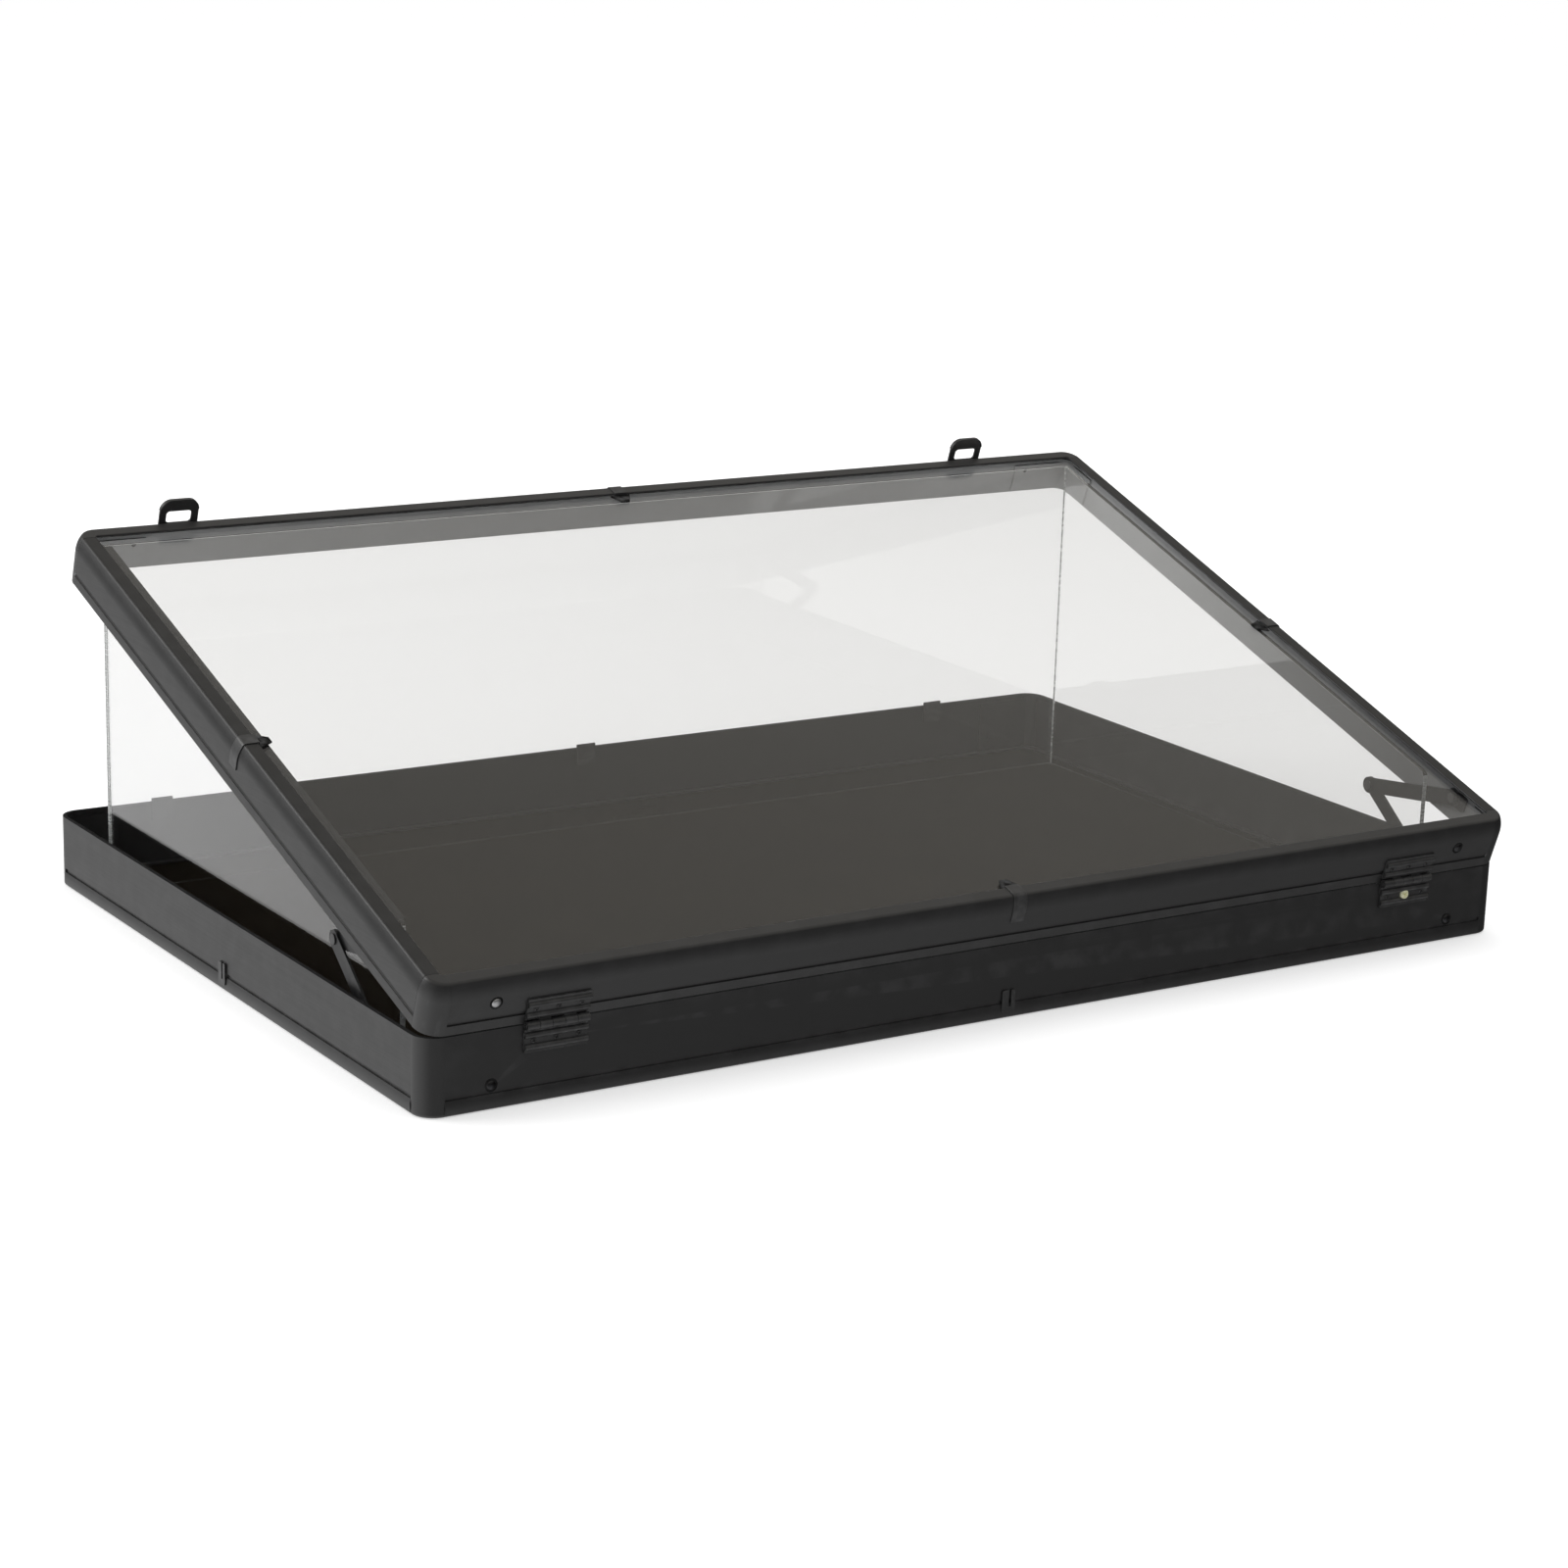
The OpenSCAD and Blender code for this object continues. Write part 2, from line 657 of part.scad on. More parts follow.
// Base plate, housing with the button's slot, and the hooked catch
module lock_plate(h) color(STEEL) in_case() translate([h[1], 0, 0]) difference() {
    union() {
        translate([0, 0, (lock_low + lock_high) / 2]) on_back(0, lock_plate_t)
            rounded(lock_w, lock_high - lock_low, 3);
        translate([0, 0, house_z]) on_back(0, lock_depth) rounded(lock_w, house_h, 3);
        translate([0, 0, catch_z]) {
            on_back(0, hasp_axis + 2) translate([-catch_w / 2, -3]) square([catch_w, 3]);
            on_back(hasp_axis + 1, 1.5) translate([-catch_w / 2, -3]) square([catch_w, 6]);
        }
    }
    translate([0, 0, house_z]) on_back(lock_depth - 4.5, 4.5 + over) rounded(button_room, button_h + 0.6, 1);
    for (x = [-1, 1]) translate([x * lock_rivet_x, case_d - over, lock_high - 4]) rotate([-90, 0, 0])
        cylinder(r = hasp_rivet_r + run_gap, h = 4);
}

// Ribbed button, pushed outward to free the hasp
module lock_button(h) color("#2e2e33") in_case()
    translate([h[1] - h[0] * button_travel / 2, 0, house_z]) difference() {
        on_back(lock_depth - 4.3, 5.8) rounded(button_w, button_h, 1);
        for (k = [-1:1]) translate([k * 2.4, case_d + lock_depth + 1.5, 0])
            cube([1, 1.2, button_h + over], center = true);
    }

module small_rivet(grip) {
    cylinder(r = hasp_rivet_r, h = grip);
    translate([0, 0, grip]) cylinder(r1 = hasp_rivet_r + 0.9, r2 = hasp_rivet_r + 0.3, h = 0.7);
}

// ---------- carrying handle ----------

bend_r = 5;
lug_in = handle_w / 2 + bend_r + 1;
lug_w = 9;
lug_r = 5;
bracket_t = 2;
bracket_w = 26;
bracket_h = 19;
bracket_z = tray_h - 2 - bracket_h / 2;

module handle_bracket(s) color(STEEL) in_case() translate([s * (lug_in + lug_w / 2), 0, 0]) difference() {
    union() {
        translate([0, 0, bracket_z]) on_back(0, bracket_t) rounded(bracket_w, bracket_h, 3);
        translate([0, case_d + handle_y, handle_z]) bar(lug_r, lug_w);
        translate([-lug_w / 2, case_d, handle_z - lug_r]) cube([lug_w, handle_y, 2 * lug_r]);
    }
    translate([0, case_d + handle_y, handle_z]) bar(rod_r + run_gap, lug_w + over);
    for (x = [-1, 1]) translate([x * 9, case_d - over, bracket_z - 5]) rotate([-90, 0, 0])
        cylinder(r = hasp_rivet_r + run_gap, h = 4);
}

// Rivets of the locks and of the handle's brackets
module back_rivets() color(EDGE) in_case() for (s = [0, 1], x = [-1, 1]) {
    translate([hasps[s][1] + x * lock_rivet_x, case_d, lock_high - 4]) rotate([-90, 0, 0])
        small_rivet(lock_plate_t);
    translate([(2 * s - 1) * (lug_in + lug_w / 2) + x * 9, case_d, bracket_z - 5])
        rotate([-90, 0, 0]) small_rivet(bracket_t);
}

// Bend of the rod through a right angle, in the x-z plane, from +x to +z
module rod_bend() rotate([90, 0, 0]) rotate_extrude(angle = 90) translate([bend_r, 0]) circle(rod_r);

// U-shaped rod hanging from its two outturned ends
module handle_bail() color(STEEL) in_case() translate([0, case_d + handle_y, 0]) {
    half = handle_w / 2;
    low = handle_z - handle_drop;
    translate([0, 0, low]) bar(rod_r, handle_w - 2 * bend_r);
    for (s = [-1, 1]) mirror([s < 0 ? 1 : 0, 0, 0]) {
        translate([half - bend_r, 0, low + bend_r]) rotate([0, 90, 0]) rod_bend();
        translate([half, 0, low + bend_r]) cylinder(r = rod_r, h = handle_drop - 2 * bend_r);
        translate([half + bend_r, 0, handle_z - bend_r]) rotate([0, -90, 0]) rod_bend();
        translate([half + bend_r + (lug_w + 1) / 2, 0, handle_z]) bar(rod_r, lug_w + 1);
    }
}

// Rubber grip, swollen at the middle and grooved for the fingers
module handle_grip() color("#1b1b1e") in_case()
    translate([0, case_d + handle_y, handle_z - handle_drop]) rotate([0, 90, 0])
        rotate_extrude() difference() {
            union() {
                translate([0, -grip_len / 2 + 2]) square([grip_r - 1, grip_len - 4]);
                translate([0, -grip_len / 2]) square([grip_r - 3, grip_len]);
                for (y = [-1, 1]) translate([grip_r - 3, y * (grip_len / 2 - 2)]) circle(2);
                for (k = [-4:4]) translate([grip_r - 3, k * (grip_len - 6) / 9]) circle(3);
            }
            translate([-over, -grip_len]) square([rod_r + run_gap + over, 2 * grip_len]);
        }

// ---------- lid stays ----------

// Bracket plate with a stud: shoulder, journal for the link, and head
module pivot_stud(p, link_u, clear) {
    start = wall + tongue_t;
    plate(wall, tongue_t) translate(p - [0, stay_plate_low]) rounded(stay_plate_w, stay_plate_h, 3);
    plate(start - 0.1, link_u - start + 0.1 - 0.1) translate(p) circle(stud_r);
    plate(link_u - 0.2, link_t + 0.3) translate(p) circle(journal_r - clear);
    plate(link_u + link_t + 0.1, washer_t) translate(p) circle(stud_r);
}

module stay_tray_pivot(s) color(STEEL) in_case() inward(s) pivot_stud(stay_a, lower_u, 0);
module stay_lid_pivot(s) color(STEEL) in_lid() inward(s)
    pivot_stud([stay_lid_y, stay_lid_z], upper_u, open_pivot_gap);
open_pivot_gap = 0.2;

module stay_lower_link(s) color(EDGE) in_case() inward(s) plate(lower_u, link_t)
    link_outline(stay_a, stay_e, journal_r + run_gap, journal_r + run_gap);

module stay_upper_link(s) color(EDGE) in_case() inward(s) plate(upper_u, link_t)
    link_outline(stay_e, stay_b, journal_r + run_gap, journal_r + run_gap);

// Elbow rivet: two heads and a shank through both links
module stay_elbow_rivet(s) color(STEEL) in_case() inward(s) {
    plate(lower_u - washer_t, washer_t) translate(stay_e) circle(stud_r);
    plate(lower_u - 0.1, upper_u + link_t - lower_u + 0.2) translate(stay_e) circle(journal_r);
    plate(upper_u + link_t + 0.1, washer_t) translate(stay_e) circle(stud_r);
}

// ---------- nodes ----------

tray_rail(FRONT);  // tray_front_rail
tray_rail(RIGHT);  // tray_right_rail
tray_rail(BACK);  // tray_back_rail
tray_rail(LEFT);  // tray_left_rail
tray_corner(0);  // tray_corner_front_left
tray_corner(1);  // tray_corner_front_right
tray_corner(2);  // tray_corner_back_right
tray_corner(3);  // tray_corner_back_left
tray_rivets();
tray_clips();
rim_tabs();
floor_board();
side_panel(-1);  // left_panel
side_panel(1);  // right_panel
back_panel();
tray_leaf(-1);  // left_hinge_tray_leaf
tray_leaf(1);  // right_hinge_tray_leaf
tray_hinge_screws();
brass_hinge_screw();
hinge_pins();
lock_plate(hasps[0]);  // left_lock_plate
lock_plate(hasps[1]);  // right_lock_plate
lock_button(hasps[0]);  // left_lock_button
lock_button(hasps[1]);  // right_lock_button
handle_bracket(-1);  // left_handle_bracket
handle_bracket(1);  // right_handle_bracket
back_rivets();
handle_bail();
handle_grip();
stay_tray_pivot(-1);  // left_stay_tray_pivot
stay_tray_pivot(1);  // right_stay_tray_pivot
stay_lower_link(-1);  // left_stay_lower_link
stay_lower_link(1);  // right_stay_lower_link
stay_elbow_rivet(-1);  // left_stay_elbow_rivet
stay_elbow_rivet(1);  // right_stay_elbow_rivet
stay_upper_link(-1);  // left_stay_upper_link
stay_upper_link(1);  // right_stay_upper_link
stay_lid_pivot(-1);  // left_stay_lid_pivot
stay_lid_pivot(1);  // right_stay_lid_pivot
lid_rail(FRONT);  // lid_front_rail
lid_rail(RIGHT);  // lid_right_rail
lid_rail(BACK);  // lid_back_rail
lid_rail(LEFT);  // lid_left_rail
lid_corner(0);  // lid_corner_front_left
lid_corner(1);  // lid_corner_front_right
lid_corner(2);  // lid_corner_back_right
lid_corner(3);  // lid_corner_back_left
lid_rivets();
lid_clips();
pane();
glazing_seal();
lid_leaf(-1);  // left_hinge_lid_leaf
lid_leaf(1);  // right_hinge_lid_leaf
lid_hinge_screws();
hasp_plate(hasps[0]);  // left_hasp_plate
hasp_plate(hasps[1]);  // right_hasp_plate
hasp_rivets();
hasp_pins();
hasp(hasps[0]);  // left_hasp
hasp(hasps[1]);  // right_hasp
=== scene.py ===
"""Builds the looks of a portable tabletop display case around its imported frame."""

import json
import math

import bmesh
import bpy
from bpy.props import FloatProperty, FloatVectorProperty, IntProperty, PointerProperty
from mathutils import Matrix, Vector


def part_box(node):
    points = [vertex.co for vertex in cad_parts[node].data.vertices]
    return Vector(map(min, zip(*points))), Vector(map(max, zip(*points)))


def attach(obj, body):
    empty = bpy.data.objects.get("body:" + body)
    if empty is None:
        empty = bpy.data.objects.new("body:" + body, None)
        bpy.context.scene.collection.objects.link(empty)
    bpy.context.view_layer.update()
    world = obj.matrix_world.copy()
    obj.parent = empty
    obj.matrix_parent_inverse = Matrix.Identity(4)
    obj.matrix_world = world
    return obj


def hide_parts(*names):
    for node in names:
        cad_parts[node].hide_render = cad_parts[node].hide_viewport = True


bl_info = {
    "name": "Tabletop display case",
    "version": (1, 0, 0),
    "blender": (4, 5, 0),
    "location": "View3D > Sidebar > Display case",
    "description": "Dresses the display case's frame with finished rails, glazing and hardware",
    "category": "Object",
}

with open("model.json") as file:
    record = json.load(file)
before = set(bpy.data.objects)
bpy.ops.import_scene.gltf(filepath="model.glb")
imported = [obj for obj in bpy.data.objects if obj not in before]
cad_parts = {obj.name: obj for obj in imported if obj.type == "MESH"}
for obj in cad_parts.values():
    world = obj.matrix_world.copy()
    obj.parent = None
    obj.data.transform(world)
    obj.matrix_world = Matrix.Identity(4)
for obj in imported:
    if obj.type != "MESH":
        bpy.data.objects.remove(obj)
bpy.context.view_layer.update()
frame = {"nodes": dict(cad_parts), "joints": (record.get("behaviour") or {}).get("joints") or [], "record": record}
BODIES = frame["record"]["behaviour"]["bodies"]
HINGE = Vector(next(j["pos_m"] for j in frame["joints"] if j["name"] == "lid_hinge"))
MM = 0.001

# CASE is the case's own space; LID turns a lid that lies closed up to where it rests
TILT = math.radians(18.1)
LID = Matrix.Translation(HINGE) @ Matrix.Rotation(TILT, 4, "X") @ Matrix.Translation(-HINGE)
CASE = Matrix.Identity(4)
LID_MIDDLE = (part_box("pane")[0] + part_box("pane")[1]) / 2
SIDES = ("left", "right")

# top of the painted light on the lid corners' inner faces, above the hinge
PAINTED_LIGHT_TOP = 30.0 * MM

# points closer than this are one; angles, in degrees, below which faces are one,
# above which edges are rounded, and above which shading breaks
WELD = 0.002 * MM
FLAT_ANGLE = 0.6
HARD_ANGLE = 32.0
SHARP_ANGLE = 50.0

FASTENERS = "Fasteners on points"

# colours of the room and of worn or dusty faces, and refraction of the clear sheets
WHITE = (1, 1, 1, 1)
CEILING = (0.42, 0.405, 0.375, 1)
RUBBED_ALUMINIUM = (0.16, 0.16, 0.165, 1)
RUBBED_STEEL = (0.22, 0.22, 0.225, 1)
RAIL_DUST = (0.25, 0.24, 0.23, 1)
RUBBER_DUST = (0.2, 0.19, 0.18, 1)
PANE_IOR = 1.45
ACRYLIC_IOR = 1.49


# ---------- meshes ----------


def body_of_node(node):
    """The CAD body that holds a node."""
    return next(name for name, nodes in BODIES.items() if node in nodes)


def on_both_sides(what):
    """The names of a piece that is there on the left and on the right."""
    return [side + "_" + what for side in SIDES]


def finished(obj, node, material):
    """Puts a finished piece in place of a CAD node, on the node's body."""
    obj.data.materials.clear()
    obj.data.materials.append(material)
    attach(obj, body_of_node(node))
    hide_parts(node)
    return obj


def repainted(obj, material, wanted):
    """Gives a second material to the faces that pass a test."""
    obj.data.materials.append(material)
    for face in obj.data.polygons:
        if wanted(face):
            face.material_index = 1


def link(name, mesh):
    """A new object at the origin that shows a mesh."""
    obj = bpy.data.objects.new(name, mesh)
    bpy.context.scene.collection.objects.link(obj)
    return obj


def baked(obj):
    """Turns an object's modifiers into its plain mesh."""
    graph = bpy.context.evaluated_depsgraph_get()
    mesh = bpy.data.meshes.new_from_object(obj.evaluated_get(graph))
    old = obj.data
    obj.modifiers.clear()
    obj.data = mesh
    bpy.data.meshes.remove(old)
    return obj


def plain_mesh(name, bm):
    """The mesh of a bmesh, which is freed."""
    mesh = bpy.data.meshes.new(name)
    bm.to_mesh(mesh)
    bm.free()
    return mesh


def smoothed(mesh, sharp=SHARP_ANGLE):
    """Smooths a mesh, but for edges that turn by more than an angle in degrees."""
    mesh.shade_smooth()
    mesh.set_sharp_from_angle(angle=math.radians(sharp))
    return mesh


def merged(node):
    """A copy of a node's mesh with its triangles joined into whole faces and no inner faces."""
    mesh = frame["nodes"][node].data.copy()
    bm = bmesh.new()
    bm.from_mesh(mesh)
    bmesh.ops.remove_doubles(bm, verts=bm.verts, dist=WELD)
    flat = math.radians(FLAT_ANGLE)
    bmesh.ops.dissolve_limit(bm, angle_limit=flat, verts=bm.verts, edges=bm.edges)
    inner = [f for f in bm.faces if all(len(e.link_faces) > 2 for e in f.edges)]
    bmesh.ops.delete(bm, geom=inner, context="FACES_ONLY")
    bm.to_mesh(mesh)
    bm.free()
    return mesh


def rounded_copy(node, width, segments=2):
    """A node's shape with its hard edges rounded."""
    obj = link(node + "_finished", merged(node))
    bevel = obj.modifiers.new("Edge rounding", "BEVEL")
    bevel.width = width
    bevel.segments = segments
    bevel.limit_method = "ANGLE"
    bevel.angle_limit = math.radians(HARD_ANGLE)
    smoothed(obj.data)
    weights = obj.modifiers.new("Flat faces", "WEIGHTED_NORMAL")
    weights.keep_sharp = True
    weights.weight = 90
    return baked(obj)


def islands(node, space=CASE):
    """Lowest and highest corner of each solid of a node, in an unturned space."""
    mesh = merged(node)
    back = space.inverted()
    bm = bmesh.new()
    bm.from_mesh(mesh)
    bpy.data.meshes.remove(mesh)
    left, found = set(bm.verts), []
    while left:
        stack = [left.pop()]
        lo, hi = Vector((9, 9, 9)), Vector((-9, -9, -9))
        while stack:
            v = stack.pop()
            p = back @ v.co
            lo, hi = Vector(map(min, lo, p)), Vector(map(max, hi, p))
            for e in v.link_edges:
                w = e.other_vert(v)
                if w in left:
                    left.discard(w)
                    stack.append(w)
        found.append((lo, hi))
    bm.free()
    return sorted(found, key=lambda c: tuple(round(x, 5) for x in c[0]))


def circle(bm, radius, height, steps):
    """A ring of vertices about Z."""
    angles = (2 * math.pi * i / steps for i in range(steps))
    return [bm.verts.new((radius * math.cos(a), radius * math.sin(a), height)) for a in angles]


def band(bm, low, high):
    """Joins two rings of equally many vertices with faces."""
    for i in range(len(low)):
        j = (i + 1) % len(low)
        bm.faces.new((low[i], low[j], high[j], high[i]))


def tilted_piece(name, bm, node, finish):
    """A finished piece of a node, from a bmesh laid out as if the lid lay closed."""
    mesh = plain_mesh(name, bm)
    mesh.transform(LID)
    finished(link(name, smoothed(mesh)), node, finish_named(finish))


def lathe(name, outline, steps):
    """A closed turned shape about Z from (radius, height) points that start and end on the axis."""
    bm = bmesh.new()
    rings = [circle(bm, r, z, steps) if r else [bm.verts.new((0, 0, z))] for r, z in outline]
    for low, high in zip(rings, rings[1:]):
        if len(low) == len(high):
            band(bm, low, high)
            continue
        (tip,), rim = sorted((low, high), key=len)
        for i in range(steps):
            bm.faces.new((tip, rim[i], rim[(i + 1) % steps]))
    bmesh.ops.recalc_face_normals(bm, faces=bm.faces)
    return smoothed(plain_mesh(name, bm), 40.0)


def swept(path, section):
    """A bmesh: a closed section of (outward, up) carried round a closed path of (point, outward)."""
    bm = bmesh.new()
    rings = []
    for point, outward in path:
        rings.append([bm.verts.new(point + outward * u + Vector((0, 0, v))) for u, v in section])
    for ring, after in zip(rings, rings[1:] + rings[:1]):
        band(bm, ring, after)
    bmesh.ops.recalc_face_normals(bm, faces=bm.faces)
    return bm


def rounded_loop(half_x, y0, y1, radius, z, steps):
    """Points and outward directions round a rectangle with rounded corners."""
    loop = []
    corners = ((half_x, y0, -90), (half_x, y1, 0), (-half_x, y1, 90), (-half_x, y0, 180))
    for x, y, first in corners:
        cx = x - math.copysign(radius, x)
        cy = y + radius if y == y0 else y - radius
        for i in range(steps + 1):
            a = math.radians(first + 90.0 * i / steps)
            out = Vector((math.cos(a), math.sin(a), 0))
            loop.append((Vector((cx, cy, z)) + out * radius, out))
    return loop


# ---------- nodes ----------


def new_group(kind, name, inputs, outputs):
    """An empty node group with named sockets: tree, nodes, link maker, its input and output."""
    tree = bpy.data.node_groups.new(name, kind)
    for label, socket_type, value in inputs:
        socket = tree.interface.new_socket(label, in_out="INPUT", socket_type=socket_type)
        if value is not None:
            socket.default_value = value
    for label, socket_type in outputs:
        tree.interface.new_socket(label, in_out="OUTPUT", socket_type=socket_type)
    nodes = tree.nodes
    source, sink = nodes.new("NodeGroupInput"), nodes.new("NodeGroupOutput")
    return tree, nodes, tree.links.new, source.outputs, sink.inputs


def feed(wire, target, value):
    """Links a socket into an input, or sets the input to a plain value."""
    if isinstance(value, bpy.types.NodeSocket):
        wire(value, target)
    else:
        target.default_value = value


def maths(nodes, wire, operation, *values):
    """Values put together by one operation."""
    node = nodes.new("ShaderNodeMath")
    node.operation = operation
    for target, value in zip(node.inputs, values):
        feed(wire, target, value)
    return node.outputs[0]


def ranged(nodes, wire, value, reads=(0.0, 1.0), gives=(0.0, 1.0), smooth=False):
    """A value taken from one range to another."""
    node = nodes.new("ShaderNodeMapRange")
    node.interpolation_type = "SMOOTHSTEP" if smooth else "LINEAR"
    for end, (low, high) in (("From", reads), ("To", gives)):
        node.inputs[end + " Min"].default_value = low
        node.inputs[end + " Max"].default_value = high
    wire(value, node.inputs["Value"])
    return node.outputs["Result"]


def mixed(nodes, wire, mask, low, high):
    """A colour between two others by a mask."""
    node = nodes.new("ShaderNodeMix")
    node.data_type = "RGBA"
    wire(mask, node.inputs["Factor"])
    feed(wire, node.inputs["A"], low)
    feed(wire, node.inputs["B"], high)
    return node.outputs["Result"]


def mixed_shader(nodes, wire, mask, low, high):
    """A shader between two others by a mask."""
    node = nodes.new("ShaderNodeMixShader")
    for target, value in zip(node.inputs, (mask, low, high)):
        wire(value, target)
    return node.outputs[0]


def noise(nodes, wire, vector, scale, detail, roughness=0.5):
    """Soft noise over some coordinates."""
    node = nodes.new("ShaderNodeTexNoise")
    wire(vector, node.inputs["Vector"])
    feed(wire, node.inputs["Scale"], scale)
    node.inputs["Detail"].default_value = detail
    node.inputs["Roughness"].default_value = roughness
    return node.outputs["Fac"]


# ---------- repeated fasteners (geometry nodes) ----------


def fastener_tree():
    """Instances one fastener on points, faced along their own direction, as one plain mesh."""
    tree, nodes, wire, source, sink = new_group(
        "GeometryNodeTree",
        FASTENERS,
        (
            ("Geometry", "NodeSocketGeometry", None),
            ("Fastener", "NodeSocketObject", None),
            ("Size", "NodeSocketFloat", 1.0),
            ("Twist", "NodeSocketFloat", math.pi),
            ("Seed", "NodeSocketInt", 7),
            ("Material", "NodeSocketMaterial", None),
        ),
        (("Geometry", "NodeSocketGeometry"),),
    )
    points = nodes.new("GeometryNodeMeshToPoints")
    shape = nodes.new("GeometryNodeObjectInfo")
    place = nodes.new("GeometryNodeInstanceOnPoints")
    facing = nodes.new("GeometryNodeInputNamedAttribute")
    facing.data_type = "FLOAT_VECTOR"
    facing.inputs["Name"].default_value = "facing"
    align = nodes.new("FunctionNodeAlignRotationToVector")
    align.axis = "Z"
    spin = nodes.new("FunctionNodeRandomValue")
    spin.data_type = "FLOAT"
    turn = nodes.new("FunctionNodeAxisAngleToRotation")
    turn.inputs["Axis"].default_value = (0, 0, 1)
    both = nodes.new("FunctionNodeRotateRotation")
    both.rotation_space = "LOCAL"
    real = nodes.new("GeometryNodeRealizeInstances")
    paint = nodes.new("GeometryNodeSetMaterial")
    wire(source["Geometry"], points.inputs["Mesh"])
    wire(points.outputs["Points"], place.inputs["Points"])
    wire(source["Fastener"], shape.inputs["Object"])
    wire(shape.outputs["Geometry"], place.inputs["Instance"])
    wire(facing.outputs["Attribute"], align.inputs["Vector"])
    wire(source["Twist"], spin.inputs[3])
    wire(source["Seed"], spin.inputs["Seed"])
    wire(spin.outputs[1], turn.inputs["Angle"])
    wire(align.outputs["Rotation"], both.inputs["Rotation"])
    wire(turn.outputs["Rotation"], both.inputs["Rotate By"])
    wire(both.outputs["Rotation"], place.inputs["Rotation"])
    wire(source["Size"], place.inputs["Scale"])
    wire(place.outputs["Instances"], real.inputs["Geometry"])
    wire(real.outputs["Geometry"], paint.inputs["Geometry"])
    wire(source["Material"], paint.inputs["Material"])
    wire(paint.outputs["Geometry"], sink["Geometry"])
    return tree


def set_input(modifier, tree, name, value):
    """Sets a modifier's input by its socket's identifier."""
    sockets = tree.interface.items_tree
    socket = next(s for s in sockets if s.name == name and s.in_out == "INPUT")
    modifier[socket.identifier] = value


def fastened(name, node, places, shape, finish, seed, size=1.0):
    """One piece that holds a fastener, turned at random, at each (point, facing) place."""
    material = finish_named(finish)
    tree = bpy.data.node_groups.get(FASTENERS) or fastener_tree()
    mesh = bpy.data.meshes.new(name)
    mesh.from_pydata([p for p, _ in places], [], [])
    facing = mesh.attributes.new("facing", "FLOAT_VECTOR", "POINT")
    for i, (_, way) in enumerate(places):
        facing.data[i].vector = way
    holder = link(name + "_shape", shape)
    obj = link(name, mesh)
    modifier = obj.modifiers.new("Fasteners", "NODES")
    modifier.node_group = tree
    for key, value in (
        ("Fastener", holder),
        ("Size", size),
        ("Twist", math.pi),
        ("Seed", seed),
        ("Material", material),
    ):
        set_input(modifier, tree, key, value)
    baked(obj)
    bpy.data.objects.remove(holder)
    if not obj.data.polygons:
        raise RuntimeError(name + " came out empty")
    return finished(obj, node, material)


def front_and_back(node, space=CASE):
    """Head centre and facing of each fastener on the front and back faces."""
    places = []
    for lo, hi in islands(node, space):
        mid = (lo + hi) / 2
        front = mid.y < 0
        head = Vector((mid.x, lo.y if front else hi.y, mid.z))
        way = Vector((0, -1, 0)) if front else Vector((0, 1, 0))
        places.append((space @ head, (space.to_3x3() @ way).normalized()))
    return places


# ---------- shared material effects ----------


def effect_group(name, values, masks):
    """An empty shader group that reads coordinates and some values and puts out masks."""
    inputs = [("Vector", "NodeSocketVector", None)]
    inputs += [(label, "NodeSocketFloat", value) for label, value in values.items()]
    outputs = [(label, "NodeSocketFloat") for label in masks]
    return new_group("ShaderNodeTree", name, inputs, outputs)


def drawn_grain():
    """Fine lines left along an extrusion by its die and by brushing."""
    tree, nodes, wire, source, sink = effect_group(
        "Drawn grain", {"Contrast": 0.5}, ("Height", "Mask")
    )
    fine = noise(nodes, wire, source["Vector"], scale=1.0, detail=4.0, roughness=0.65)
    broad = noise(nodes, wire, source["Vector"], scale=0.12, detail=2.0)
    lines = maths(nodes, wire, "MULTIPLY_ADD", broad, 0.35, fine)
    wire(lines, sink["Height"])
    wire(maths(nodes, wire, "MULTIPLY", lines, source["Contrast"]), sink["Mask"])
    return tree


def edge_wear():
    """A mask of rubbed edges, broken up by noise."""
    tree, nodes, wire, source, sink = effect_group(
        "Edge wear", {"Amount": 0.4, "Patch scale": 60.0}, ("Mask",)
    )
    geometry = nodes.new("ShaderNodeNewGeometry")
    edge = ranged(nodes, wire, geometry.outputs["Pointiness"], reads=(0.52, 0.62))
    patch = noise(nodes, wire, source["Vector"], scale=source["Patch scale"], detail=5.0)
    broken = ranged(nodes, wire, patch, reads=(0.42, 0.66))
    both = maths(nodes, wire, "MULTIPLY", edge, broken)
    wire(maths(nodes, wire, "MULTIPLY", both, source["Amount"]), sink["Mask"])
    return tree


def settled_dust():
    """A faint mask on faces that look up, thicker in patches."""
    tree, nodes, wire, source, sink = effect_group("Settled dust", {"Amount": 0.1}, ("Mask",))
    geometry = nodes.new("ShaderNodeNewGeometry")
    split = nodes.new("ShaderNodeSeparateXYZ")
    wire(geometry.outputs["Normal"], split.inputs[0])
    up = ranged(nodes, wire, split.outputs["Z"], reads=(0.3, 1.0))
    patch = noise(nodes, wire, source["Vector"], scale=35.0, detail=6.0)
    both = maths(nodes, wire, "MULTIPLY", up, patch)
    wire(maths(nodes, wire, "MULTIPLY", both, source["Amount"]), sink["Mask"])
    return tree


EFFECTS = {"Drawn grain": drawn_grain, "Edge wear": edge_wear, "Settled dust": settled_dust}


def effect(nodes, wire, name, vector, **values):
    """Places a shared effect on some coordinates and sets its inputs."""
    node = nodes.new("ShaderNodeGroup")
    node.node_tree = bpy.data.node_groups.get(name) or EFFECTS[name]()
    wire(vector, node.inputs["Vector"])
    for key, value in values.items():
        node.inputs[key.replace("_", " ")].default_value = value
    return node.outputs


# ---------- materials ----------


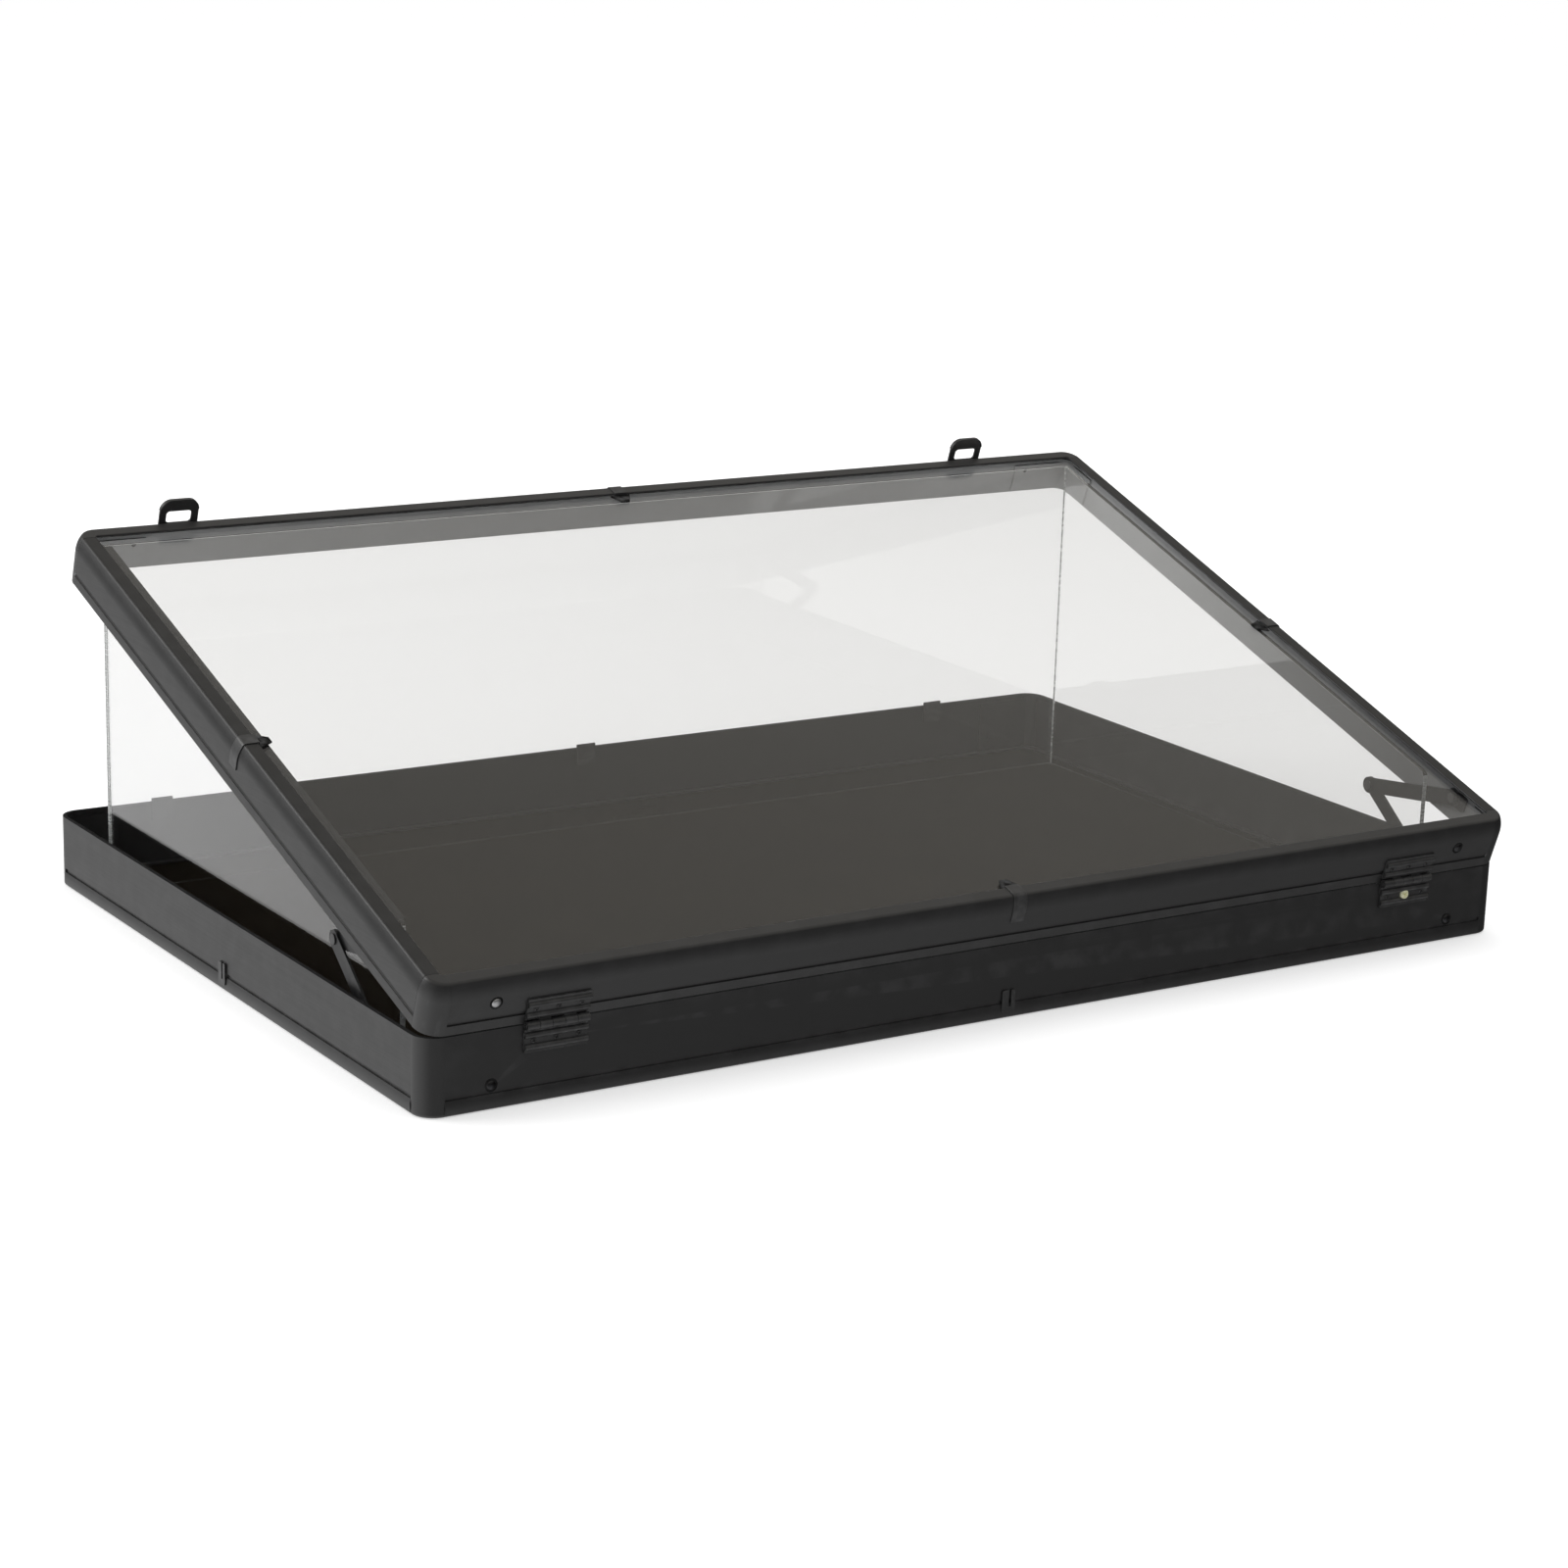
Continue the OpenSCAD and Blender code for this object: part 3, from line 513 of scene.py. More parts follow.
def start(name):
    """A new node material, its nodes, its link maker and its shader."""
    material = bpy.data.materials.new(name)
    material.use_nodes = True
    nodes = material.node_tree.nodes
    return material, nodes, material.node_tree.links.new, nodes["Principled BSDF"]


def mapped(nodes, wire, scale):
    """Object coordinates, plain and stretched by a scale."""
    place = nodes.new("ShaderNodeTexCoord")
    mapping = nodes.new("ShaderNodeMapping")
    mapping.inputs["Scale"].default_value = scale
    wire(place.outputs["Object"], mapping.inputs["Vector"])
    return place.outputs["Object"], mapping.outputs["Vector"]


def toned(nodes, wire, mask, base, dark, light):
    """A colour darkened where a mask is low and lightened where it is high."""
    low, high = ((*(min(1.0, c * level) for c in base), 1) for level in (dark, light))
    return mixed(nodes, wire, mask, low, high)


def surfaced(wire, shader, colour, roughness, shine=0.5):
    """Gives a shader its colour, its roughness and its level of reflection."""
    wire(colour, shader.inputs["Base Color"])
    wire(roughness, shader.inputs["Roughness"])
    shader.inputs["Specular IOR Level"].default_value = shine


def bumped(nodes, wire, shader, height, strength, distance):
    """Height as fine relief on a shader."""
    bump = nodes.new("ShaderNodeBump")
    bump.inputs["Strength"].default_value = strength
    bump.inputs["Distance"].default_value = distance
    wire(height, bump.inputs["Height"])
    wire(bump.outputs["Normal"], shader.inputs["Normal"])


def see_through(nodes, wire, shader, weight, ior):
    """Makes a shader clear; diffuse and shadow rays pass straight through it."""
    shader.inputs["Transmission Weight"].default_value = weight
    shader.inputs["IOR"].default_value = ior
    through = nodes.new("ShaderNodeBsdfTransparent")
    through.inputs["Color"].default_value = (0.93, 0.93, 0.93, 1)
    light = nodes.new("ShaderNodeLightPath").outputs
    either = maths(nodes, wire, "MAXIMUM", light["Is Shadow Ray"], light["Is Diffuse Ray"])
    both = mixed_shader(nodes, wire, either, shader.outputs["BSDF"], through.outputs["BSDF"])
    wire(both, nodes["Material Output"].inputs["Surface"])


def anodised(name, base, along, shine=0.8):
    """Black anodised aluminium with drawn lines along one axis."""
    material, nodes, wire, shader = start(name)
    scale = [900.0, 900.0, 900.0]
    scale[along] = 9.0
    plain, stretched = mapped(nodes, wire, scale)
    grain = effect(nodes, wire, "Drawn grain", stretched, Contrast=0.8)
    wear = effect(nodes, wire, "Edge wear", plain, Amount=0.10, Patch_scale=70.0)
    dust = effect(nodes, wire, "Settled dust", plain, Amount=0.025)
    colour = toned(nodes, wire, grain["Mask"], base, dark=0.8, light=1.25)
    colour = mixed(nodes, wire, wear["Mask"], colour, RUBBED_ALUMINIUM)
    colour = mixed(nodes, wire, dust["Mask"], colour, RAIL_DUST)
    roughness = ranged(nodes, wire, grain["Mask"], gives=(0.34, 0.50))
    surfaced(wire, shader, colour, roughness, shine)
    bumped(nodes, wire, shader, grain["Height"], strength=0.10, distance=0.12 * MM)
    return material


def coated(name, base, rough, shine, texture=1400.0, relief=0.12, worn=0.3):
    """Painted or blacked steel with a fine orange-peel skin and rubbed edges."""
    material, nodes, wire, shader = start(name)
    plain, stretched = mapped(nodes, wire, (texture,) * 3)
    skin = effect(nodes, wire, "Drawn grain", stretched, Contrast=0.8)
    wear = effect(nodes, wire, "Edge wear", plain, Amount=worn, Patch_scale=180.0)
    colour = toned(nodes, wire, skin["Mask"], base, dark=0.8, light=1.25)
    colour = mixed(nodes, wire, wear["Mask"], colour, RUBBED_STEEL)
    roughness = ranged(nodes, wire, skin["Mask"], gives=(rough - 0.06, rough + 0.08))
    surfaced(wire, shader, colour, roughness, shine)
    bumped(nodes, wire, shader, skin["Height"], strength=relief, distance=0.15 * MM)
    return material


def bare_metal(name, base, rough, metallic=1.0):
    """Uncoated or lacquered metal with turned marks and darker tarnish."""
    material, nodes, wire, shader = start(name)
    _, stretched = mapped(nodes, wire, (2200.0,) * 3)
    grain = effect(nodes, wire, "Drawn grain", stretched, Contrast=0.8)
    colour = toned(nodes, wire, grain["Mask"], base, dark=0.7, light=1.2)
    roughness = ranged(nodes, wire, grain["Mask"], gives=(rough - 0.07, rough + 0.1))
    surfaced(wire, shader, colour, roughness)
    shader.inputs["Metallic"].default_value = metallic
    bumped(nodes, wire, shader, grain["Height"], strength=0.15, distance=0.1 * MM)
    return material


def rubber(name, base):
    """Soft black rubber with a fine pitted skin."""
    material, nodes, wire, shader = start(name)
    plain, stretched = mapped(nodes, wire, (2600.0,) * 3)
    skin = effect(nodes, wire, "Drawn grain", stretched, Contrast=0.7)
    dust = effect(nodes, wire, "Settled dust", plain, Amount=0.06)
    colour = mixed(nodes, wire, dust["Mask"], (*base, 1), RUBBER_DUST)
    roughness = ranged(nodes, wire, skin["Mask"], gives=(0.55, 0.75))
    surfaced(wire, shader, colour, roughness, shine=0.35)
    bumped(nodes, wire, shader, skin["Height"], strength=0.25, distance=0.15 * MM)
    return material


def flock(name, base):
    """Short flock: fine fibres, soft blotches where it was brushed."""
    material, nodes, wire, shader = start(name)
    plain, stretched = mapped(nodes, wire, (3200.0, 3200.0, 900.0))
    fibre = effect(nodes, wire, "Drawn grain", stretched, Contrast=0.9)
    nap = noise(nodes, wire, plain, scale=14.0, detail=3.0)
    both = maths(nodes, wire, "MULTIPLY", fibre["Mask"], nap)
    colour = toned(nodes, wire, both, base, dark=0.6, light=2.2)
    roughness = ranged(nodes, wire, nap, gives=(0.85, 1.0))
    surfaced(wire, shader, colour, roughness, shine=0.02)
    bumped(nodes, wire, shader, fibre["Height"], strength=0.5, distance=0.4 * MM)
    return material


def clear(name, tint, ior, smear):
    """Clear sheet with a trace of smears."""
    material, nodes, wire, shader = start(name)
    _, stretched = mapped(nodes, wire, (7.0, 11.0, 7.0))
    marks = noise(nodes, wire, stretched, scale=1.0, detail=5.0)
    streak = ranged(nodes, wire, marks, reads=(0.5, 0.8), gives=(0.0, smear))
    colour = toned(nodes, wire, marks, tint, dark=1.0, light=1.01)
    surfaced(wire, shader, colour, streak)
    see_through(nodes, wire, shader, weight=1.0, ior=ior)
    return material


def sawn(name, base):
    """The pale, sawn and scraped upright edge of a clear sheet."""
    material, nodes, wire, shader = start(name)
    _, stretched = mapped(nodes, wire, (60.0, 60.0, 400.0))
    marks = effect(nodes, wire, "Drawn grain", stretched, Contrast=0.9)
    colour = toned(nodes, wire, marks["Mask"], base, dark=0.8, light=1.15)
    roughness = ranged(nodes, wire, marks["Mask"], gives=(0.15, 0.35))
    surfaced(wire, shader, colour, roughness)
    bumped(nodes, wire, shader, marks["Height"], strength=0.08, distance=0.1 * MM)
    see_through(nodes, wire, shader, weight=0.6, ior=ACRYLIC_IOR)
    return material


def painted_inner_light(name, base):
    """Painted light on the lid's black inner walls: grey with fine fibre marks, darker at the front than at the
    back as painted shade.
    """
    material, nodes, wire, shader = start(name)
    plain, stretched = mapped(nodes, wire, (1500.0,) * 3)
    fibre = effect(nodes, wire, "Drawn grain", stretched, Contrast=0.8)
    colour = toned(nodes, wire, fibre["Mask"], base, dark=0.8, light=1.2)
    place = nodes.new("ShaderNodeSeparateXYZ")
    wire(plain, place.inputs["Vector"])
    # painted shade: the grey is scaled down towards the front and up towards the back
    painted_front_shade = ranged(nodes, wire, place.outputs["Y"], reads=(-0.20, 0.25), gives=(0.55, 1.45))
    graded = nodes.new("ShaderNodeVectorMath")
    graded.operation = "SCALE"
    wire(colour, graded.inputs[0])
    wire(painted_front_shade, graded.inputs["Scale"])
    roughness = ranged(nodes, wire, fibre["Mask"], gives=(0.8, 0.95))
    surfaced(wire, shader, graded.outputs["Vector"], roughness, shine=0.2)
    bumped(nodes, wire, shader, fibre["Height"], strength=0.4, distance=0.2 * MM)
    return material


def finish_named(name):
    """One of the case's finishes, made the first time it is asked for."""
    old = bpy.data.materials.get(name)
    if old:
        return old
    look = bpy.context.scene.case_looks
    rail = look.rail_colour
    # painted shade: the rails along the case's depth get a darker copy of the rail colour, with less shine, for
    # the shade they lie in
    shaded_deep_rail = [c * 0.6 for c in rail]
    stay = {"rough": 0.36, "shine": 0.3, "texture": 1800.0, "relief": 0.08, "worn": 0.15}
    button = {"rough": 0.5, "shine": 0.4, "texture": 2400.0, "relief": 0.2, "worn": 0.1}
    make, base, values = {
        "Anodised rail across": (anodised, rail, {"along": 0}),
        "Anodised rail deep": (anodised, shaded_deep_rail, {"along": 1, "shine": 0.58}),
        "Anodised corner": (anodised, rail, {"along": 2}),
        "Blacked steel": (coated, look.hardware_colour, {"rough": 0.42, "shine": 0.8}),
        "Stay steel": (coated, (0.012, 0.012, 0.0125), stay),
        "Lock button": (coated, (0.02, 0.02, 0.021), button),
        # near black: painted shade on the rings round the rivets, and the clip tabs' own black
        "Washer black": (coated, (0.004, 0.004, 0.004), {"rough": 0.6, "shine": 0.15}),
        "Dark rivet": (bare_metal, look.rivet_colour, {"rough": 0.32}),
        # painted highlight: light metal for the rivets that catch the light
        "Bright rivet": (bare_metal, (0.62, 0.62, 0.63), {"rough": 0.4}),
        # brass screw, partly painted glint: a pale brass colour with a low metal level, so that it shows bright as
        # if catching a light
        "Brass screw": (bare_metal, look.brass_glint_colour, {"rough": 0.45, "metallic": 0.35}),
        "Grip rubber": (rubber, (0.012, 0.012, 0.013), {}),
        "Seal rubber": (rubber, (0.009, 0.009, 0.01), {}),
        "Rim seal": (flock, (0.02, 0.02, 0.02), {}),
        "Black flock": (flock, look.floor_board_colour, {}),
        # grey on the lid's inner walls is painted light, for the light those black walls catch
        "Grey liner": (painted_inner_light, (0.38, 0.385, 0.39), {}),
        "Clear pane": (clear, (0.995, 0.992, 0.985), {"ior": PANE_IOR, "smear": 0.008}),
        "Clear panel": (clear, (0.99, 0.99, 0.987), {"ior": ACRYLIC_IOR, "smear": 0.03}),
        "Sawn edge": (sawn, (0.84, 0.86, 0.85), {}),
    }[name]
    return make(name, base, **values)


# ---------- settings ----------


def length(name, description, value, least=0.0):
    """A length setting."""
    return FloatProperty(name=name, description=description, default=value, min=least, unit="LENGTH")


def colour(name, description, value):
    """A colour setting."""
    return FloatVectorProperty(
        name=name, description=description, subtype="COLOR", default=value, min=0, max=1
    )


class CaseSizes(bpy.types.PropertyGroup):
    """Sizes of the case's finished edges and small parts."""

    rail_edge: length("Rail edge", "Rounding along the rails' edges", 0.45 * MM)
    hardware_edge: length("Hardware edge", "Rounding along the hardware's edges", 0.3 * MM)
    panel_edge: length("Panel edge", "Polished chamfer of the clear panels", 0.35 * MM)
    rivet_radius: length("Rivet radius", "Radius of a corner rivet's head", 3.3 * MM, 1 * MM)
    screw_radius: length("Screw radius", "Radius of a hinge screw's head", 1.9 * MM, 1 * MM)
    strip_width: length("Strip width", "Width of the rubber strip under the lip", 6.5 * MM, 1 * MM)
    strip_corner: length("Strip corner", "Outer corner radius of the rubber strip", 10.17 * MM, 1 * MM)
    grip_rings: IntProperty(
        name="Grip rings", description="Finger rings moulded along the grip", default=22, min=2, max=60
    )


class CaseLooks(bpy.types.PropertyGroup):
    """Colours of the case's finishes, and its light."""

    rail_colour: colour("Rails", "Anodised colour of rails and corners", (0.0122, 0.0121, 0.0124))
    hardware_colour: colour("Hardware", "Colour of hinges, hasps and locks", (0.021, 0.021, 0.0215))
    rivet_colour: colour("Dark rivets", "Colour of the tray's rivets", (0.06, 0.06, 0.063))
    # pale brass: part of its lightness is a painted glint
    brass_glint_colour: colour("Brass", "Colour of the brass screw", (0.97, 0.93, 0.60))
    floor_board_colour: colour("Floor board", "Colour of the flocked board", (0.0069, 0.0050, 0.0030))
    stage_colour: colour("Stage", "Colour of the table surface", (0.88, 0.88, 0.88))
    key_power: FloatProperty(
        name="Key light",
        description="Power of the large soft light",
        subtype="POWER",
        default=38.0,
        min=0,
    )
    sky_level: FloatProperty(
        name="Sky level", description="Strength of the even light on matt surfaces", default=0.62, min=0
    )


# ---------- operators ----------


class CaseOperator:
    """What every step of the case shares."""

    bl_options = {"REGISTER", "UNDO"}

    def sizes(self):
        """The case's size settings."""
        return bpy.context.scene.case_sizes

    def dress(self, finish, nodes, width, segments=2):
        """Finishes some nodes with rounded copies of their own shapes."""
        for node in nodes:
            finished(rounded_copy(node, width, segments), node, finish_named(finish))

    def seal(self, node):
        """Gives the top edge of a tray rail its dull dust seal."""
        piece = bpy.data.objects[node + "_finished"]
        edge = max(v.co.z for v in piece.data.vertices) - 1 * MM
        repainted(piece, finish_named("Rim seal"), lambda f: f.normal.z > 0.3 and f.center.z > edge)


class CASE_OT_stage(bpy.types.Operator):
    """Sets up the table surface, the light and the camera"""

    bl_idname = "case.stage"
    bl_label = "Stage, light and camera"

    def execute(self, context):
        scene = context.scene
        looks = scene.case_looks
        scene.view_settings.view_transform = "Standard"
        self.camera(scene)
        self.world(scene, looks)
        self.surface(looks)
        self.lamps(scene, looks)
        return {"FINISHED"}

    def camera(self, scene):
        """A long lens from the front left, a little above the case."""
        place = (-1.486, -2.330, 0.828)
        yaw, pitch, roll = (math.radians(a) for a in (34.18, 16.26, 2.16))
        data = bpy.data.cameras.new("Camera")
        data.sensor_width = 36.0
        data.lens = 87.05
        data.shift_x = -0.0625
        data.shift_y = 0.0625
        data.clip_end = 50.0
        camera = bpy.data.objects.new("Camera", data)
        scene.collection.objects.link(camera)
        level = math.cos(pitch)
        ahead = Vector((math.sin(yaw) * level, math.cos(yaw) * level, -math.sin(pitch)))
        right = Vector((math.cos(yaw), -math.sin(yaw), 0))
        up = right.cross(ahead)
        x = math.cos(roll) * right + math.sin(roll) * up
        y = -math.sin(roll) * right + math.cos(roll) * up
        turned = Matrix((x, y, -ahead)).transposed().to_4x4()
        camera.matrix_world = Matrix.Translation(place) @ turned
        scene.camera = camera

    def world(self, scene, looks):
        """An even light; the camera sees white, and shiny faces mirror a room."""
        world = bpy.data.worlds.new("Studio")
        scene.world = world
        world.use_nodes = True
        nodes, wire = world.node_tree.nodes, world.node_tree.links.new
        nodes.clear()
        light = nodes.new("ShaderNodeLightPath").outputs
        through = light["Is Transmission Ray"]
        again = maths(nodes, wire, "MINIMUM", light["Glossy Depth"], 1.0)
        inside = maths(nodes, wire, "MULTIPLY", through, again)
        shiny = maths(nodes, wire, "MAXIMUM", light["Is Glossy Ray"], inside)
        clean = maths(nodes, wire, "SUBTRACT", through, inside)
        straight = maths(nodes, wire, "MAXIMUM", light["Is Camera Ray"], clean)
        even, mirrored, seen = (nodes.new("ShaderNodeBackground") for _ in range(3))
        even.inputs["Color"].default_value = WHITE
        even.inputs["Strength"].default_value = looks.sky_level
        wire(self.room(nodes, wire), mirrored.inputs["Color"])
        seen.inputs["Color"].default_value = WHITE
        lit = mixed_shader(nodes, wire, shiny, even.outputs[0], mirrored.outputs[0])
        both = mixed_shader(nodes, wire, straight, lit, seen.outputs[0])
        wire(both, nodes.new("ShaderNodeOutputWorld").inputs["Surface"])

    def room(self, nodes, wire):
        """The mirrored room: bright behind, warm grey overhead and dim towards the front."""
        way = nodes.new("ShaderNodeTexCoord").outputs["Generated"]
        split = nodes.new("ShaderNodeSeparateXYZ")
        wire(way, split.inputs[0])
        behind = nodes.new("ShaderNodeVectorMath")
        behind.operation = "DOT_PRODUCT"
        behind.inputs[1].default_value = (-0.5, 0.86, 0.0)
        wire(way, behind.inputs[0])
        sideways, upward = split.outputs["X"], split.outputs["Z"]
        low = maths(
            nodes,
            wire,
            "MULTIPLY",
            ranged(nodes, wire, upward, (-0.69, 0.0), (0.50, 0.07), smooth=True),
            ranged(nodes, wire, sideways, (0.42, 0.66), (1.20, 0.30), smooth=True),
        )
        far = ranged(nodes, wire, upward, (-0.28, 0.06), (1.0, 0.30), smooth=True)
        backwards = ranged(nodes, wire, behind.outputs["Value"], (-0.3, 0.5), smooth=True)
        walls = mixed(nodes, wire, backwards, low, far)
        height = ranged(nodes, wire, upward, (0.2, 0.6), smooth=True)
        return mixed(nodes, wire, height, walls, CEILING)

    def surface(self, looks):
        """A pale table surface that keeps the case's shadow."""
        bm = bmesh.new()
        bmesh.ops.create_circle(bm, cap_ends=True, segments=96, radius=14.0)
        obj = link("Table_surface", plain_mesh("Table_surface", bm))
        obj.location.z = -0.2 * MM
        material, nodes, wire, shader = start("Pale surface")
        shader.inputs["Base Color"].default_value = (*looks.stage_colour, 1)
        shader.inputs["Roughness"].default_value = 0.9
        shader.inputs["Specular IOR Level"].default_value = 0.0
        glow = nodes.new("ShaderNodeEmission")
        light = nodes.new("ShaderNodeLightPath").outputs
        seen = maths(nodes, wire, "MULTIPLY", light["Is Camera Ray"], 0.455)
        through = maths(nodes, wire, "MULTIPLY", light["Is Transmission Ray"], 0.105)
        wire(maths(nodes, wire, "ADD", seen, through), glow.inputs["Strength"])
        total = nodes.new("ShaderNodeAddShader")
        wire(shader.outputs["BSDF"], total.inputs[0])
        wire(glow.outputs[0], total.inputs[1])
        wire(total.outputs[0], nodes["Material Output"].inputs["Surface"])
        obj.data.materials.append(material)
        obj.visible_glossy = False

    def lamps(self, scene, looks):
        """A large soft light behind on the left and a wider, weaker one overhead."""
        aim = Vector((0, 0, 0.1))
        for name, place, size, power in (
            ("Key_light", (-2.6, 1.6, 1.9), 1.8, looks.key_power),
            ("Top_light", (0.6, 0.4, 3.2), 2.6, looks.key_power * 0.8),
        ):
            data = bpy.data.lights.new(name, "AREA")
            data.shape = "SQUARE"
            data.size = size
            data.energy = power
            lamp = bpy.data.objects.new(name, data)
            scene.collection.objects.link(lamp)
            lamp.visible_glossy = name == "Key_light"
            lamp.visible_transmission = False
            lamp.location = place
            lamp.rotation_euler = (aim - Vector(place)).to_track_quat("-Z", "Y").to_euler()


class CASE_OT_rails(CaseOperator, bpy.types.Operator):
    """Finishes the eight drawn rails of tray and lid"""

    bl_idname = "case.rails"
    bl_label = "Rails"

    def execute(self, context):
        width = self.sizes().rail_edge
        for part in ("tray", "lid"):
            across = [part + "_" + side + "_rail" for side in ("front", "back")]
            deep = [part + "_" + side + "_rail" for side in ("left", "right")]
            self.dress("Anodised rail across", across, width)
            # the rails along the depth take the darker copy of the rail finish, painted shade
            self.dress("Anodised rail deep", deep, width)
        for side, way in (
            ("front", Vector((0, 1, 0))),
            ("back", Vector((0, -1, 0))),
            ("left", Vector((1, 0, 0))),
            ("right", Vector((-1, 0, 0))),
        ):
            self.line("lid_" + side + "_rail", way)
            self.seal("tray_" + side + "_rail")
        return {"FINISHED"}

    def line(self, node, way):
        """Paints light on a lid rail's inner wall in grey; way is where that wall looks."""
        piece = bpy.data.objects[node + "_finished"]
        back = LID.inverted()
        turn = back.to_3x3()
        wall = min(way.dot(back @ v.co) for v in piece.data.vertices) + 6 * MM

        def inside(face):
            return way.dot(turn @ face.normal) > 0.6 and way.dot(back @ face.center) < wall

        repainted(piece, finish_named("Grey liner"), inside)


class CASE_OT_corners(CaseOperator, bpy.types.Operator):
    """Finishes the eight rounded corner pieces"""

    bl_idname = "case.corners"
    bl_label = "Corner pieces"

    def execute(self, context):
        width = self.sizes().rail_edge * 0.8
        places = ("front_left", "front_right", "back_right", "back_left")
        for part in ("tray", "lid"):
            self.dress("Anodised corner", [part + "_corner_" + place for place in places], width)
        for place in places:
            self.line("lid_corner_" + place)
            self.seal("tray_corner_" + place)
        return {"FINISHED"}

    def line(self, node):
        """Paints the lid corner's inner faces with the grey painted light of the rails beside it."""
        back = LID.inverted()
        turn = back.to_3x3()
        middle = back @ LID_MIDDLE

        def inside(face):
            place, way = back @ face.center, turn @ face.normal
            inward = Vector((math.copysign(1, -place.x), math.copysign(1, middle.y - place.y), 0))
            low = place.z < HINGE.z + PAINTED_LIGHT_TOP
            return way.dot(inward) > 0.6 and abs(way.z) < 0.6 and low

        repainted(bpy.data.objects[node + "_finished"], finish_named("Grey liner"), inside)


class CASE_OT_rivets(CaseOperator, bpy.types.Operator):
    """Sets domed rivets at the corners, with rings of painted shade round them, and on the back's hardware"""

    bl_idname = "case.rivets"
    bl_label = "Rivets"

    def execute(self, context):
        r = self.sizes().rivet_radius
        foot = -1.6 * MM
        dome = self.dome(r, 1.3 * MM) + [(r, foot), (0.0, foot)]
        # a flat near-black ring under each corner rivet's dome: painted shade, for the shadow round the rivet
        shade_ring = [(0.0, -1.3 * MM), (1.35 * r, -1.3 * MM), (1.42 * r, -1.4 * MM), (1.42 * r, foot)]
        shade_ring.append((0.0, foot))
        tray = front_and_back("tray_rivets")
        lid = front_and_back("lid_rivets", LID)
        shape = lathe("rivet_head", dome, 36)
        under = lathe("rivet_shade_ring", shade_ring, 36)
        fastened("tray_rivet_heads", "tray_rivets", tray, shape, "Dark rivet", 3)
        heads = fastened("lid_rivet_heads", "lid_rivets", lid, shape, "Dark rivet", 5)
        # the left lid rivets are given light metal: a painted highlight for the light they catch
        repainted(heads, finish_named("Bright rivet"), lambda face: face.center.x < 0)
        for node, places in (("tray_rivets", tray), ("lid_rivets", lid)):
            fastened(node[:-1] + "_washers", node, places, under, "Washer black", 19)
        small = lathe("small_rivet", self.cup(), 28)
        for name, node, space in (
            ("back_rivet_heads", "back_rivets", CASE),
            ("hasp_rivet_heads", "hasp_rivets", LID),
        ):
            fastened(name, node, front_and_back(node, space), small, "Dark rivet", 9)
        return {"FINISHED"}

    def dome(self, radius, rise, arc=75.0, steps=8):
        """The outline of a low dome down to its rim, part of an arc of so many degrees."""
        wide = math.sin(math.radians(arc))
        deep = 1 - math.cos(math.radians(arc))
        outline = [(0.0, 0.0)]
        for i in range(1, steps + 1):
            a = math.radians(arc * i / steps)
            outline.append((radius * math.sin(a) / wide, -rise * (1 - math.cos(a)) / deep))
        return outline

    def cup(self):
        """The outline of a small rivet whose middle is sunk by its punch."""
        outline = ((0, -0.2), (0.5, -0.2), (0.7, 0.0), (1.3, -0.1), (1.9, -0.5), (2.1, -0.9), (0, -0.9))
        return [(r * MM, z * MM) for r, z in outline]


class CASE_OT_screws(CaseOperator, bpy.types.Operator):
    """Sets cross-headed screws in the hinge leaves"""

    bl_idname = "case.screws"
    bl_label = "Hinge screws"

    def execute(self, context):
        for name, node, space, finish, size, proud, seed in (
            ("tray_screw_heads", "tray_hinge_screws", CASE, "Blacked steel", 1.0, 0.0, 11),
            ("lid_screw_heads", "lid_hinge_screws", LID, "Blacked steel", 1.0, 0.0, 13),
            ("brass_screw_head", "brass_hinge_screw", CASE, "Brass screw", 2.0, 1.5 * MM, 17),
        ):
            places = [(p + way * proud, way) for p, way in front_and_back(node, space)]
            fastened(name, node, places, self.head(), finish, seed, size)
        return {"FINISHED"}

    def head(self):
        """A pan head with a sunk cross."""
        r = self.sizes().screw_radius
        steps = 32
        crown = ((0.18, 0.0), (0.34, 0.0), (0.62, -0.05), (0.85, -0.16))
        side = ((0.97, -0.30), (1.0, -0.42), (1.0, -0.62))
        bm = bmesh.new()
        rings = [circle(bm, r * out, r * up, steps) for out, up in crown + side]
        for low, high in zip(rings, rings[1:]):
            band(bm, high, low)
        bm.faces.new(rings[0])
        bm.faces.new(list(reversed(rings[-1])))
        for ring, sunk in zip(rings, (0.5, 0.5, 0.16)):
            for i, v in enumerate(ring):
                on_an_arm = abs(math.cos(4 * math.pi * i / steps)) > 0.86
                if on_an_arm:
                    v.co.z -= r * sunk
        for v in rings[0]:
            v.co.z = -0.5 * r
        bmesh.ops.recalc_face_normals(bm, faces=bm.faces)
        return smoothed(plain_mesh("screw_head", bm), 38.0)


class CASE_OT_hinges(CaseOperator, bpy.types.Operator):
    """Finishes the two ribbed hinges and their pins"""

    bl_idname = "case.hinges"
    bl_label = "Hinges"

    def execute(self, context):
        leaves = [side + "_hinge_" + part + "_leaf" for side in SIDES for part in ("tray", "lid")]
        self.dress("Blacked steel", leaves + ["hinge_pins"], self.sizes().hardware_edge * 0.7)
        return {"FINISHED"}


class CASE_OT_hasps(CaseOperator, bpy.types.Operator):
    """Finishes the two hasps, their plates and pins"""

    bl_idname = "case.hasps"
    bl_label = "Hasps"

    def execute(self, context):
        width = self.sizes().hardware_edge
        self.dress("Blacked steel", on_both_sides("hasp"), width * 1.5, 3)
        self.dress("Blacked steel", on_both_sides("hasp_plate") + ["hasp_pins"], width * 0.7)
        return {"FINISHED"}


